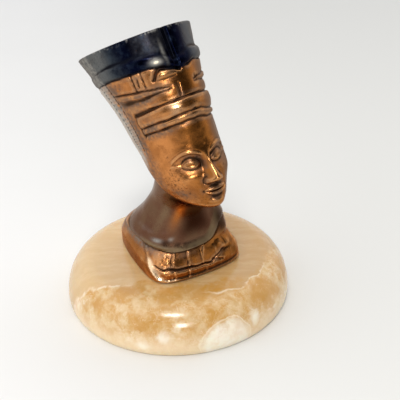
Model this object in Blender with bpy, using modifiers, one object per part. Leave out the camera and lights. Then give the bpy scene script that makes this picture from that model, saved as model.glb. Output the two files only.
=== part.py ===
"""Egyptian queen figurine: a bust cast in one piece in copper alloy, on a round onyx base.

Metres, +Z up. The shoulders face -Y, and the origin is the middle of the base's underside.
The bust is a loft between unlike sections: a square block of shoulders, an oval neck, a head
and a flared crown. Sections and carving are worked out in parts of the bust's own height.
"""

import math

import bmesh
import bpy
import numpy as np

# The onyx base
BASE_DIAMETER = 0.075
BASE_THICKNESS = 0.015
SHOULDER_REACH = 0.0098
SHOULDER_DROP = 0.0122
FOOT_SETBACK = 0.0011
BASE_SIDES = 72
SHOULDER_STEPS = 7
FOOT_STEPS = 2

# The bust's height, and the gap that it keeps to the base under it. The figures of its sections
# and carving below are in a grid of their own, which is scaled until the bust is this tall.
BUST_HEIGHT = 0.0787
SEAT_GAP = 0.0003

COPPER = (0.46, 0.20, 0.09)
ONYX = (0.74, 0.55, 0.33)


def curve(*points):
    """A smooth curve through (x, y) points that never overshoots them, as a function of x."""
    x, y = np.array(points, float).T
    width, slope = np.diff(x), np.diff(y) / np.diff(x)
    turn = np.concatenate([slope[:1], slope[1:] * 0, slope[-1:]])
    for i in range(1, len(slope)):
        before, after = 2 * width[i] + width[i - 1], width[i] + 2 * width[i - 1]
        if slope[i - 1] * slope[i] > 0:
            turn[i] = (before + after) / (before / slope[i - 1] + after / slope[i])

    def at(q):
        i = np.clip(np.searchsorted(x, q, side="right") - 1, 0, len(width) - 1)
        t = (q - x[i]) / width[i]
        ends = y[i] * (1 + 2 * t) * (1 - t) ** 2 + y[i + 1] * t * t * (3 - 2 * t)
        return ends + width[i] * (turn[i] * t * (1 - t) ** 2 - turn[i + 1] * t * t * (1 - t))

    return at


def step(low, high, q):
    """0 below low, 1 above high and smooth between them."""
    t = np.clip((q - low) / (high - low), 0, 1)
    return t * t * (3 - 2 * t)


def within(q, low, high, soft):
    """1 from low to high, with soft ends."""
    return step(low - soft, low + soft, q) * (1 - step(high - soft, high + soft, q))


def line(off, half, power=2.0):
    """1 on a line and falling off to both sides of it."""
    return np.exp(-(np.abs(off / half) ** power))


def mound(a, u, at, size, power=2.0):
    """1 at a point and falling off all round it."""
    across, tall = np.abs((a - at[0]) / size[0]), np.abs((u - at[1]) / size[1])
    return np.exp(-(across**power + tall**power))


# Sections of the bust, from its foot (station 0) to its crown's rim: the point in front and the
# point behind (forward, up), half the width, and how square the front and the back are.
SECTIONS = (
    (0.0, (17.6, 0.0), (-18.2, 0.0), 13.9, 3.0, 3.0),
    (0.3, (18.1, 0.45), (-18.6, 0.45), 14.2, 3.0, 3.0),
    (1.0, (18.1, 2.3), (-18.7, 2.4), 14.2, 3.0, 3.0),
    (2.0, (17.4, 4.7), (-18.7, 5.0), 14.1, 3.0, 3.0),
    (2.6, (16.7, 6.8), (-18.5, 7.0), 14.0, 3.0, 3.0),
    (3.0, (15.9, 8.8), (-18.0, 8.6), 13.7, 2.8, 3.0),
    (4.0, (15.2, 10.8), (-16.6, 10.4), 14.6, 3.2, 2.5),
    (5.0, (14.6, 14.2), (-13.0, 14.0), 13.9, 2.8, 1.95),
    (6.0, (14.6, 19.0), (-8.2, 19.5), 11.8, 2.4, 1.8),
    (7.0, (16.4, 25.0), (-2.3, 27.4), 9.0, 2.2, 1.85),
    (7.6, (18.6, 27.0), (0.5, 32.6), 8.9, 1.9, 1.88),
    (8.3, (22.6, 27.8), (2.0, 36.9), 8.9, 1.7, 1.95),
    (9.0, (26.0, 28.6), (1.9, 37.5), 9.7, 1.6, 2.0),
    (9.6, (27.6, 30.4), (1.6, 38.0), 10.4, 1.62, 2.0),
    (10.4, (27.2, 34.4), (1.1, 38.5), 11.2, 1.75, 2.0),
    (11.4, (26.0, 39.2), (0.3, 39.2), 11.7, 1.85, 2.05),
    (12.8, (23.8, 46.4), (-1.2, 40.2), 11.9, 1.82, 2.1),
    (14.4, (21.0, 54.6), (-4.3, 42.1), 12.1, 1.75, 2.1),
    (16.4, (16.8, 64.2), (-10.2, 49.4), 13.4, 1.88, 2.1),
    (18.0, (13.2, 71.6), (-17.6, 56.6), 15.4, 1.95, 2.1),
    (19.3, (9.4, 78.8), (-24.0, 63.0), 17.6, 1.92, 2.1),
)
RIM = SECTIONS[-1][0]
FRONT = [curve(*((s[0], s[1][i]) for s in SECTIONS)) for i in (0, 1)]
BACK = [curve(*((s[0], s[2][i]) for s in SECTIONS)) for i in (0, 1)]
HALF_WIDTH = curve(*((s[0], s[3]) for s in SECTIONS))
FRONT_SQUARE = curve(*((s[0], s[4]) for s in SECTIONS))
BACK_SQUARE = curve(*((s[0], s[5]) for s in SECTIONS))
WIDEST = curve((0, 0.5), (8.3, 0.5), (10.4, 0.46), (16.4, 0.46), (RIM, 0.48))

# The shoulder block widens to the front, bows forward and a little to its sides, and has small
# round corners.
BLOCK_TAPER = 0.125
BLOCK_BOW = 0.125
BLOCK_SIDE_BOW = 0.12
BLOCK_SQUARE = 8.0
BLOCK_HALF = (14.2, 18.4)
BLOCK_ENDS, OVAL_STARTS = 1.7, 3.9

# The casting leans to its right, and its head is turned a little to its left.
SIDE_LEAN = math.radians(5.5)
LEAN_STARTS, LEAN_ENDS = 8.0, 32.0
LEAN_FOOT = 4.0
HEAD_TURN = math.radians(3.5)
NECK_AXIS = 3.0


def block_outline():
    """The shoulder block's half outline: distance along it, then the shares forward and across."""
    turn = np.linspace(0, np.pi, 2001)
    across = np.abs(np.sin(turn)) ** (2 / BLOCK_SQUARE)
    along = np.sign(np.cos(turn)) * np.abs(np.cos(turn)) ** (2 / BLOCK_SQUARE)
    wide = across * (1 + BLOCK_TAPER * along + BLOCK_SIDE_BOW * (1 - along**2))
    deep = along * (1 - BLOCK_BOW * across**2 * (along > 0))
    pieces = np.hypot(np.diff(wide) * BLOCK_HALF[0], np.diff(deep) * BLOCK_HALF[1])
    return np.concatenate([[0], np.cumsum(pieces)]), (deep + 1) / 2, wide


OUTLINE = block_outline()
OUTLINE_LENGTH = OUTLINE[0][-1]
FRONT_CORNER = OUTLINE[0][len(OUTLINE[0]) // 4]
BACK_CORNER = OUTLINE[0][3 * len(OUTLINE[0]) // 4]


def skin(foot, turn, station):
    """Points (across, forward, up) of the bust's plain form.

    foot is the distance from the front along the block's outline, turn the angle round the head.
    """
    across, along = np.abs(np.sin(turn)), np.cos(turn)
    square = np.where(along >= 0, FRONT_SQUARE(station), BACK_SQUARE(station))
    widest = WIDEST(station)
    reach = np.where(along >= 0, 1 - widest, -widest)
    deep = widest + reach * np.abs(along) ** (2 / square)
    wide = across ** (2 / square)
    oval = step(BLOCK_ENDS, OVAL_STARTS, station)
    block_deep = np.interp(foot, OUTLINE[0], OUTLINE[1])
    block_wide = np.interp(foot, OUTLINE[0], OUTLINE[2])
    deep = block_deep * (1 - oval) + deep * oval
    wide = block_wide * (1 - oval) + wide * oval
    forward = BACK[0](station) + (FRONT[0](station) - BACK[0](station)) * deep
    up = BACK[1](station) + (FRONT[1](station) - BACK[1](station)) * deep
    return HALF_WIDTH(station) * wide, forward, up


# The face has its own frame, tilted back with the head: depth and height from under the chin.
# Its proportions are those of any drawing book, thirds from chin to nose, brow and hairline.
HEAD_TILT = math.radians(15.5)
CHIN = (26.9, 29.2)
FACE_HEIGHT = 25.6
THIRD = FACE_HEIGHT / 3
FACE_AXIS = -11.5
FACE_RADIUS = 12.5


def head_frame(forward, up):
    f, u = forward - CHIN[0], up - CHIN[1]
    cos, sin = math.cos(HEAD_TILT), math.sin(HEAD_TILT)
    return f * cos + u * sin, u * cos - f * sin


BROW = 2 * THIRD
NOSE_BASE = THIRD - 0.25
NOSE_TIP = THIRD + 1.1
NOSE_ROOT = BROW - 1.2
NOSE_RISE = curve(
    (NOSE_BASE - 0.9, 0),
    (NOSE_BASE, 1.7),
    (NOSE_BASE + 0.8, 3.1),
    (NOSE_TIP, 3.3),
    (NOSE_TIP + 1.3, 2.85),
    (NOSE_ROOT - 2.4, 1.75),
    (NOSE_ROOT, 1.0),
    (NOSE_ROOT + 2.6, 0),
)
NOSE_HALF = curve(
    (NOSE_BASE, 1.8),
    (NOSE_TIP, 1.7),
    (NOSE_TIP + 1.6, 1.3),
    (NOSE_ROOT - 2, 1.05),
    (NOSE_ROOT + 2.6, 2.2),
)
WING = (1.75, NOSE_BASE + 0.75)


def nose(a, u):
    q = np.clip(u, NOSE_BASE - 0.9, NOSE_ROOT + 2.6)
    bridge = NOSE_RISE(q) * line(a, NOSE_HALF(np.clip(q, NOSE_BASE, None)), 2.3)
    return bridge + 0.8 * mound(np.abs(a), u, WING, (0.8, 0.85), 2.4)


EYE = (4.75, BROW - 2.75)
EYE_HALF = (3.0, 1.45)
LINE_LENGTH = 3.4


def lids(a):
    """How far the upper and the lower lid are above the eye's middle."""
    t = np.clip((a - EYE[0]) / EYE_HALF[0], -1, 1)
    arch = 1 - t * t
    return EYE_HALF[1] * arch * (0.92 + 0.1 * t) + 0.22 * t, 0.22 * t - EYE_HALF[1] * 0.72 * arch


def eyes(a, u):
    side = np.abs(a)
    upper, lower = lids(side)
    rise = u - EYE[1]
    corner = EYE[0] + EYE_HALF[0]
    across = within(side, EYE[0] - 0.93 * EYE_HALF[0], EYE[0] + 0.93 * EYE_HALF[0], 0.35)
    socket = mound(side, u, (EYE[0] - 0.5, EYE[1] + 0.5), (4.6, 2.7), 2.6)
    inner = mound(side, u, (EYE[0] - EYE_HALF[0] - 0.1, EYE[1]), (1.0, 1.5))
    ball = step(-0.25, 0.35, rise - lower) * step(-0.25, 0.35, upper - rise)
    ball = ball * (1 - 0.55 * ((side - EYE[0]) / EYE_HALF[0]) ** 2)
    rims = line(rise - upper - 0.18, 0.3) + 0.75 * line(rise - lower + 0.12, 0.26)
    crease = line(rise - upper - 0.85, 0.28)
    along = np.clip((side - corner + 0.4) / 4, 0, 1)
    painted = line(rise - 0.18 - 0.35 * along, 0.36) * within(side, corner - 0.3, corner + LINE_LENGTH, 0.4)
    lidded = across * (0.95 * ball + 0.42 * rims - 0.25 * crease)
    return lidded + 0.34 * painted - 1.25 * socket - 0.55 * inner


def brows(a, u):
    side = np.abs(a)
    t = np.clip((side - 1.5) / 9.6, 0, 1)
    arch = BROW - 0.35 + 1.9 * np.sin(np.pi * t**0.85) - 0.9 * t
    shelf = mound(side, u, (4.6, BROW + 0.4), (4.6, 1.7), 2.4)
    return 0.35 * shelf + 0.48 * line(u - arch, 0.52, 2.6) * within(side, 1.6, 10.6, 0.5)


MOUTH = THIRD * 2 / 3
MOUTH_HALF = 3.3


def lips(a, u):
    side = np.abs(a)
    t = np.clip(side / MOUTH_HALF, 0, 1)
    parting = MOUTH + 0.3 * t**2 - 0.1 * (1 - t)
    full = np.sqrt(1 - t**2)
    top = 1.3 * full * (1 - 0.18 * line(a, 0.5)) * (1 - 0.35 * t)
    low = 1.4 * full * (1 - 0.2 * t)
    rise = u - parting
    upper = np.clip(1 - ((rise - top / 2) / (top / 2 + 0.12)) ** 2, 0, 1) ** 0.7
    lower = np.clip(1 - ((rise + low / 2) / (low / 2 + 0.12)) ** 2, 0, 1) ** 0.7
    both = np.where(rise > 0, 0.6 * upper, 0.7 * lower) * step(0, 0.25, full)
    gap = line(rise, 0.22) * (1 - step(0.85, 1.06, side / MOUTH_HALF))
    corners = mound(side, u, (MOUTH_HALF + 0.2, MOUTH + 0.3), (0.6, 0.55))
    lip_groove = line(a, 0.42) * within(u, MOUTH + 1.3, NOSE_BASE - 0.2, 0.3)
    under = mound(a, u, (0, MOUTH - 2), (2.3, 0.62))
    muzzle = mound(a, u, (0, MOUTH + 0.4), (4.6, 3.6), 2.4)
    return 0.65 * muzzle + both - 0.5 * gap - 0.28 * corners - 0.22 * lip_groove - 0.4 * under


def cheeks(a, u):
    side = np.abs(a)
    bone = mound(side, u, (7.6, THIRD + 2.2), (3.6, 3.0))
    hollow = mound(side, u, (7.4, MOUTH + 0.6), (2.6, 2.8))
    fold = mound(side, u, (3.2, THIRD - 0.2), (0.9, 1.6))
    chin = mound(a, u, (0, 1.75), (2.9, 1.75), 2.4)
    temple = mound(side, u, (11.0, BROW + 2), (3.0, 4.0))
    return 0.55 * bone - 0.35 * hollow - 0.3 * fold + 0.85 * chin - 0.25 * temple


# The crown's bands follow its sections, so they are placed by station, one under another from
# the rim down: the plain top, the ribbon and the brow band, with bare strips between them.
TOP_DEPTH = 1.45
RIBBON_WIDTH = 0.55
BAND_WIDTH = 1.1
BAND_PARTING = 0.33
STRIPS = (0.98, 0.57)
TOP_ZONE = RIM - TOP_DEPTH
RIBBON = (TOP_ZONE - STRIPS[0] - RIBBON_WIDTH, TOP_ZONE - STRIPS[0])
BROW_BAND = (RIBBON[0] - STRIPS[1] - BAND_WIDTH, RIBBON[0] - STRIPS[1])
# The plain top: a round lip at its foot, and a groove up the front between two raised panels
LIP_HALF = 0.36
FRONT_GROOVE = 1.3
FRONT_PANEL = 7.4
# The ribbon starts this far round the head. It rises towards the back, and the lip a little.
RIBBON_START, RIBBON_FULL = math.radians(40), math.radians(90)
RIBBON_RISE = 0.32
LIP_RISE = 0.16
RISE = curve(
    (0, 0),
    (BROW_BAND[1], 0),
    (RIBBON[0], RIBBON_RISE),
    (RIBBON[1], RIBBON_RISE),
    (TOP_ZONE, LIP_RISE),
    (RIM, 0),
)
# How far round the head the brow band ends in a groove and the panel behind begins
BAND_END = math.radians(71)
END_GROOVE_HALF = math.radians(1.3)
BACK_PANEL = math.radians(96)
BACK_PANEL_FOOT = 13.6


def crown(around, station, turn):
    """Relief of the headdress. around is the distance from the front, round the section."""
    low, high = BROW_BAND
    mid = low + BAND_PARTING * BAND_WIDTH
    band = 0.4 * within(station, low, high, 0.06)
    band += 0.25 * line(station - (mid + high) / 2, 0.36, 3) - 0.45 * line(station - mid, 0.06)
    band -= 0.3 * line(station - low + 0.08, 0.06) + 0.4 * line(station - high - 0.08, 0.06)
    band *= 1 - step(BAND_END - 0.03, BAND_END + 0.03, turn)
    tall = within(station, low - 0.3, high + 0.2, 0.07)
    end = -0.45 * line(turn - BAND_END, END_GROOVE_HALF)
    ribbon = 0.32 * within(station, *RIBBON, 0.05)
    ribbon -= 0.3 * (line(station - RIBBON[0] + 0.09, 0.06) + line(station - RIBBON[1] - 0.09, 0.06))
    ribbon *= step(RIBBON_START, 1.5 * RIBBON_START, turn)
    ribbon *= 1 - step(BACK_PANEL - 0.1, BACK_PANEL, turn)
    above = station - TOP_ZONE
    lip = 0.45 * line(above - LIP_HALF / 2, LIP_HALF, 3) - 0.4 * line(above + LIP_HALF / 2, 0.07)
    top = step(1.3 * LIP_HALF, 1.7 * LIP_HALF, above)
    worn = 1 - 0.6 * step(1.0, 1.8, turn)
    panel = 0.35 * within(around, FRONT_GROOVE, FRONT_PANEL, 0.3) - 0.75 * (around < FRONT_GROOVE - 0.2)
    back = step(BACK_PANEL, BACK_PANEL + 0.06, turn)
    back = back * step(BACK_PANEL_FOOT - 1, BACK_PANEL_FOOT + 1, station)
    back = back * (1 - step(-1.1 * LIP_HALF, -0.8 * LIP_HALF, above))
    return band + end * tall + ribbon + worn * (lip - 0.6 * top) + top * panel + 0.2 * back


# The collar: two rows of plates parted by ribs and a groove, on the front of the shoulder block.
COLLAR_RIBS = (0.0, 5.1, 10.9)
COLLAR_HALF = 14.7
COLLAR_GROOVE = 4.55
COLLAR_TOP = 8.75


def collar(along, up):
    """Relief of the collar. along is the distance from the front along the block's foot."""
    ribs = sum(line(along - at, 0.34, 3) for at in COLLAR_RIBS)
    rows = within(up, 0.9, COLLAR_GROOVE - 0.55, 0.15)
    rows = rows + within(up, COLLAR_GROOVE + 0.55, COLLAR_TOP - 0.45, 0.15)
    grooves = 0.75 * line(up - COLLAR_GROOVE, 0.34, 3) + 0.35 * line(up - COLLAR_TOP, 0.25)
    front = 1 - step(COLLAR_HALF - 0.3, COLLAR_HALF + 0.3, along)
    return front * (0.42 * ribs * rows - grooves) * (up < COLLAR_TOP + 0.2)


def carved(foot, turn, station):
    """Points (across, forward, up) of the bust's right or left half, with its carving."""
    rise = RISE(station) * step(RIBBON_START, RIBBON_FULL, turn)
    across, forward, up = skin(foot, turn, station + rise)
    f, u = head_frame(forward, up)
    side = np.arctan2(across, f - FACE_AXIS)
    a = FACE_RADIUS * side
    face = nose(a, u) + eyes(a, u) + brows(a, u) + lips(a, u) + cheeks(a, u)
    face = face * step(9, 9.5, station) * (1 - step(1.15, 1.45, side))
    face = face * (1 - step(BROW_BAND[0] - 0.4, BROW_BAND[0] - 0.05, station))
    deep = FRONT[0](station) - BACK[0](station)
    around = turn * (HALF_WIDTH(station) + deep / 2) / 2
    dress = crown(around, station, turn) * step(9.3, 9.6, station)
    slope = np.arctan2(FRONT[1](station) - BACK[1](station), deep)
    plates = collar(foot, up) * (station < 3.4)
    out = face * np.cos(side)
    across = across + face * np.sin(side) + dress * np.sin(turn) + plates * 0.35 * step(11, 15, foot)
    forward = forward + out * math.cos(HEAD_TILT) + dress * np.cos(turn) * np.cos(slope) + plates
    up = up + out * math.sin(HEAD_TILT) + dress * np.cos(turn) * np.sin(slope)
    return across, forward, up


def pose(across, forward, up):
    """Lean the casting to its right above its foot, and turn the head. across is + on its left."""
    lean = SIDE_LEAN * step(LEAN_STARTS, LEAN_ENDS, up)
    turn = HEAD_TURN * step(9, 30, up)
    rise, ahead = up - LEAN_FOOT, forward - NECK_AXIS
    leant = across * np.cos(lean) - rise * np.sin(lean)
    height = LEAN_FOOT + rise * np.cos(lean) + across * np.sin(lean)
    return (
        leant * np.cos(turn) + ahead * np.sin(turn),
        NECK_AXIS + ahead * np.cos(turn) - leant * np.sin(turn),
        height,
    )


def spread(*ends_and_steps):
    """Numbers from the first end on, with so many equal steps to each next end."""
    values = [ends_and_steps[0]]
    for end, steps in zip(ends_and_steps[1::2], ends_and_steps[2::2]):
        values.extend(values[-1] + (end - values[-1]) * i / steps for i in range(1, steps + 1))
    return values


def station_of(height):
    """The station whose front point is at a height of the face."""
    stations = np.linspace(9.3, 14.4, 800)
    heights = head_frame(FRONT[0](stations), FRONT[1](stations))[1]
    return np.interp(height, heights, stations)


def ordered(values, apart, end):
    """The values in order up to the end, without any that crowds the one before it."""
    kept = []
    for value in sorted(values):
        if value < end - apart and (not kept or value - kept[-1] > apart):
            kept.append(value)
    return kept + [end]


def columns():
    """Columns of the loft's mesh: distances along the block's foot, and angles round the head.

    Along the foot there are three columns at each rib of the collar and a few at each corner.
    Round the head they stand close on the face and at the edges of the crown's panels.
    """
    face = spread(0, 3.4, 1, 5.2, 1, 8.0, 1, 15.2, 2, 31.4, 4, 55.4, 5, 60.2, 1)
    band, groove, back = (math.degrees(turn) for turn in (BAND_END, END_GROOVE_HALF, BACK_PANEL))
    sides = [band - 5, band - 1.3 * groove, band, band + 1.3 * groove, (band + back) / 2 + 1]
    turns = ordered(face + sides + [back, back + 4] + spread(112, 146, 2), 0.5, 163) + [180]
    foot = [0.0]
    for rib in COLLAR_RIBS:
        foot.extend(rib + off for off in (-0.45, 0, 0.45, 2.1))
    foot = ordered([at for at in foot if at >= 0], 0.1, FRONT_CORNER - 0.8)
    corner = spread(BACK_CORNER - 1.6, BACK_CORNER + 1.6, 2, OUTLINE_LENGTH, 3)
    side = np.linspace(foot[-1], corner[0], len(turns) - len(foot) - len(corner) + 2)[1:-1]
    return np.concatenate([foot, side, corner]), np.radians(turns)


def stations():
    """Stations of the loft's mesh: rows at the collar's, the face's and the crown's edges."""
    foot = [0, 0.3, 0.5, 1.6, 1.8, 1.94, 2.08, 2.24, 2.84, 2.99, 3.12]
    neck = [3.6, 4.3, 5.1, 6.0, 6.7, 7.2, 7.6, 7.95, 8.3, 8.65, 9.0, 9.25]
    chin = [0.2, 1.3, 2.5, 3.6]
    mouth = [MOUTH + off for off in (-1.4, -0.75, -0.25, 0.03, 0.3, 0.8, 1.5)]
    nostrils = [NOSE_BASE + off for off in (-0.5, 0, 0.6, 1.4, 2.6)]
    eye = [EYE[1] + off for off in (-2.3, -1.5, -1.0, -0.5, 0.1, 0.7, 1.3)]
    brow = [BROW + off for off in (-0.7, 0, 0.7, 1.4, 2.1, 4.3, 6.2)]
    face = [station_of(u) for u in chin + mouth + nostrils + eye + brow]
    low, high = BROW_BAND
    mid = low + BAND_PARTING * BAND_WIDTH
    band = [low - 0.08, low + 0.06, mid - 0.1, mid, mid + 0.1]
    band += [(mid + high) / 2, high - 0.06, high + 0.08]
    ribbon = [RIBBON[0] - 0.1, RIBBON[0] + 0.05, RIBBON[1] - 0.25, RIBBON[1] - 0.05, RIBBON[1] + 0.1]
    lip = [TOP_ZONE + off * LIP_HALF for off in (-0.8, -0.5, -0.15, 0.5, 1.1, 1.7, 2.6)]
    rows = foot + neck + face + band + ribbon + [RIBBON[1] + 0.5] + lip
    return np.array(ordered(rows, 0.03, RIM))


def material(name, colour, roughness, metallic):
    made = bpy.data.materials.new(name)
    made.use_nodes = True
    shader = made.node_tree.nodes["Principled BSDF"]
    shader.inputs["Base Color"].default_value = (*colour, 1)
    shader.inputs["Roughness"].default_value = roughness
    shader.inputs["Metallic"].default_value = metallic
    return made


def add(name, mesh, mat, collection):
    obj = bpy.data.objects.new(name, mesh)
    mesh.materials.append(mat)
    collection.objects.link(obj)
    return obj


RIM_ROUND = 0.45


def bust(collection):
    """The bust as one closed loft, from its flat foot to the crown's flat top."""
    foot, turn = columns()
    foot, station = np.meshgrid(foot, stations())
    turn = np.broadcast_to(turn, foot.shape)
    across, forward, up = carved(foot, turn, station)
    right = np.stack(pose(-across, forward, up), -1)[:, :0:-1]
    left = np.stack(pose(across, forward, up), -1)[:, :-1]
    rings = np.concatenate([right, left], 1)
    # One more ring rounds the rim over to the crown's top.
    last = rings[-1]
    middle = last.mean(0)
    axis = middle - rings[-2].mean(0)
    axis /= np.linalg.norm(axis)
    inset = last + (middle - last) / np.linalg.norm(middle - last, axis=1)[:, None] * RIM_ROUND
    rings = np.concatenate([rings, (inset + axis * RIM_ROUND)[None]])
    points = rings * (1, -1, 1) * BUST_HEIGHT / np.ptp(rings[..., 2])
    points[..., 2] += BASE_THICKNESS + SEAT_GAP
    work = bmesh.new()
    rows = [[work.verts.new(point) for point in ring] for ring in points]
    for low, high in zip(rows, rows[1:]):
        for i in range(len(low)):
            j = (i + 1) % len(low)
            # Each half is cut into triangles as a mirror image of the other.
            if i < right.shape[1]:
                halves = (low[i], low[j], high[j]), (low[i], high[j], high[i])
            else:
                halves = (low[i], low[j], high[i]), (low[j], high[j], high[i])
            for half in halves:
                work.faces.new(half)
    work.faces.new(list(reversed(rows[0])))
    work.faces.new(rows[-1])
    bmesh.ops.recalc_face_normals(work, faces=work.faces)
    mesh = bpy.data.meshes.new("queen_bust")
    work.to_mesh(mesh)
    work.free()
    mesh.shade_smooth()
    mesh.set_sharp_from_angle(angle=math.radians(50))
    return add("queen_bust", mesh, material("patinated_copper", COPPER, 0.38, 1.0), collection)


def onyx_base(collection):
    """The turned base: flat above and below, with an elliptical shoulder and a small round foot."""
    radius = BASE_DIAMETER / 2
    widest = BASE_THICKNESS - SHOULDER_DROP
    outline = [(0, BASE_THICKNESS)]
    for i in range(SHOULDER_STEPS + 1):
        turn = math.pi / 2 * (1 - i / SHOULDER_STEPS)
        reach = radius - SHOULDER_REACH * (1 - math.cos(turn))
        outline.append((reach, widest + SHOULDER_DROP * math.sin(turn)))
    for i in range(1, FOOT_STEPS + 1):
        turn = math.pi / 2 * i / FOOT_STEPS
        outline.append((radius - FOOT_SETBACK * (1 - math.cos(turn)), widest * (1 - math.sin(turn))))
    outline.append((0, 0))
    mesh = bpy.data.meshes.new("onyx_base")
    mesh.from_pydata([(x, 0, z) for x, z in outline], [(i, i + 1) for i in range(len(outline) - 1)], [])
    base = add("onyx_base", mesh, material("honey_onyx", ONYX, 0.18, 0.0), collection)
    screw = base.modifiers.new("turned", "SCREW")
    screw.steps = screw.render_steps = BASE_SIDES
    screw.use_merge_vertices = True
    screw.merge_threshold = 0.00001
    screw.use_smooth_shade = True
    return base


def build():
    for obj in list(bpy.data.objects):
        bpy.data.objects.remove(obj)
    collection = bpy.data.collections.new("egyptian_queen_figurine")
    bpy.context.scene.collection.children.link(collection)
    onyx_base(collection)
    bust(collection)


build()
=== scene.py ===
"""Looks of the egyptian queen figurine: the cast surface of the bust and the polished onyx base.

Metres, +Z up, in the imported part's own frame. The bust's form is worked out as in the part's
source, on a much finer mesh, with the relief, wear and patina that only the fine mesh can hold.
"""

import math
from functools import partialmethod

import bpy
import numpy as np
from mathutils import Matrix, Vector


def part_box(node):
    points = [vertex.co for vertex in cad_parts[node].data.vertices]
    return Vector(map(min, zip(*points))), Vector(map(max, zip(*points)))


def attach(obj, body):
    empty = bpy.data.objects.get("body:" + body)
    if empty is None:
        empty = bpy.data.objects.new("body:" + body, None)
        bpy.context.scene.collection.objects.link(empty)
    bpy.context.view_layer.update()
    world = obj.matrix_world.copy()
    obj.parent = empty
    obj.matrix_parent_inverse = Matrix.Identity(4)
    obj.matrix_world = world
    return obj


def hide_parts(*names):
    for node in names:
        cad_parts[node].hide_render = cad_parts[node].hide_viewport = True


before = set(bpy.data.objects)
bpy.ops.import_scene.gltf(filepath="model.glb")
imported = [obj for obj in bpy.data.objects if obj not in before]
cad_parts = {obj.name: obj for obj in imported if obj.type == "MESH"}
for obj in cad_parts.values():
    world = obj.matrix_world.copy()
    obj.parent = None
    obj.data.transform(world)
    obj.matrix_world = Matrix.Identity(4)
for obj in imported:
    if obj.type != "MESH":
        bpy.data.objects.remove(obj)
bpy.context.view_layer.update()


# Curves and masks


def curve(*points):
    """A smooth curve through (x, y) points that never overshoots them, as a function of x."""
    x, y = np.array(points, float).T
    width, slope = np.diff(x), np.diff(y) / np.diff(x)
    turn = np.concatenate([slope[:1], slope[1:] * 0, slope[-1:]])
    for i in range(1, len(slope)):
        before, after = 2 * width[i] + width[i - 1], width[i] + 2 * width[i - 1]
        if slope[i - 1] * slope[i] > 0:
            turn[i] = (before + after) / (before / slope[i - 1] + after / slope[i])

    def at(q):
        q = np.clip(q, x[0], x[-1])
        i = np.clip(np.searchsorted(x, q, side="right") - 1, 0, len(width) - 1)
        t = (q - x[i]) / width[i]
        ends = y[i] * (1 + 2 * t) * (1 - t) ** 2 + y[i + 1] * t * t * (3 - 2 * t)
        return ends + width[i] * (turn[i] * t * (1 - t) ** 2 - turn[i + 1] * t * t * (1 - t))

    return at


def step(low, high, q):
    """0 below low, 1 above high and smooth between them."""
    t = np.clip((q - low) / (high - low), 0, 1)
    return t * t * (3 - 2 * t)


def within(q, low, high, soft):
    """1 from low to high, with soft ends."""
    return step(low - soft, low + soft, q) * (1 - step(high - soft, high + soft, q))


def line(off, half, power=2.0):
    """1 on a line and falling off to both sides of it."""
    return np.exp(-(np.abs(off / half) ** power))


def mound(a, u, at, size, power=2.0):
    """1 at a point and falling off all round it."""
    across, tall = np.abs((a - at[0]) / size[0]), np.abs((u - at[1]) / size[1])
    return np.exp(-(across**power + tall**power))


def spots(a, u, *marks):
    """The strongest of several mounds at each point, each a strength and then a mound's values."""
    return np.max([mark[0] * mound(a, u, *mark[1:]) for mark in marks], 0)


def stroke(a, u, start, end, half, scale=1.0):
    """1 on a short straight cut and falling off round it. scale is u's size against a's."""
    run = np.array((end[0] - start[0], (end[1] - start[1]) * scale))
    off = np.stack([a - start[0], (u - start[1]) * scale], -1)
    share = np.clip(off @ run / (run @ run), 0, 1)
    return line(np.linalg.norm(off - share[..., None] * run, axis=-1), half)


def waves(points, count, length, seed):
    """Smooth seeded waviness between about -1 and 1, with waves of about that length in mm."""
    random = np.random.RandomState(seed)
    total = np.zeros(points.shape[:-1])
    for _ in range(count):
        direction = random.normal(size=3)
        direction *= 2 * np.pi / length / np.linalg.norm(direction) * random.uniform(0.7, 1.4)
        total += np.sin(points @ direction + random.uniform(0, 2 * np.pi))
    return total / math.sqrt(count)


# The bust's plain form: sections from its foot (station 0) to its crown's rim. Each has the point
# in front and the point behind (forward, up), half the width, and how square its ends are.
SECTIONS = (
    (0.0, (17.6, 0.0), (-18.2, 0.0), 13.9, 3.0, 3.0),
    (0.3, (18.1, 0.45), (-18.6, 0.45), 14.2, 3.0, 3.0),
    (1.0, (18.1, 2.3), (-18.7, 2.4), 14.2, 3.0, 3.0),
    (2.0, (17.4, 4.7), (-18.7, 5.0), 14.1, 3.0, 3.0),
    (2.6, (16.7, 6.8), (-18.5, 7.0), 14.0, 3.0, 3.0),
    (3.0, (15.9, 8.8), (-18.0, 8.6), 13.7, 2.8, 3.0),
    (4.0, (15.2, 10.8), (-16.6, 10.4), 14.6, 3.2, 2.5),
    (5.0, (14.6, 14.2), (-13.0, 14.0), 13.9, 2.8, 1.95),
    (6.0, (14.6, 19.0), (-8.2, 19.5), 11.8, 2.4, 1.8),
    (7.0, (16.4, 25.0), (-2.3, 27.4), 9.0, 2.2, 1.85),
    (7.6, (18.6, 27.0), (0.5, 32.6), 8.9, 1.9, 1.88),
    (8.3, (22.6, 27.8), (2.0, 36.9), 8.9, 1.7, 1.95),
    (9.0, (26.0, 28.6), (1.9, 37.5), 9.7, 1.6, 2.0),
    (9.6, (27.6, 30.4), (1.6, 38.0), 10.4, 1.62, 2.0),
    (10.4, (27.2, 34.4), (1.1, 38.5), 11.2, 1.75, 2.0),
    (11.4, (26.0, 39.2), (0.3, 39.2), 11.7, 1.85, 2.05),
    (12.8, (23.8, 46.4), (-1.2, 40.2), 11.9, 1.82, 2.1),
    (14.4, (21.0, 54.6), (-4.3, 42.1), 12.1, 1.75, 2.1),
    (16.4, (16.8, 64.2), (-10.2, 49.4), 13.4, 1.88, 2.1),
    (18.0, (13.2, 71.6), (-17.6, 56.6), 15.4, 1.95, 2.1),
    (19.3, (9.4, 78.8), (-24.0, 63.0), 17.6, 1.92, 2.1),
)
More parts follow.
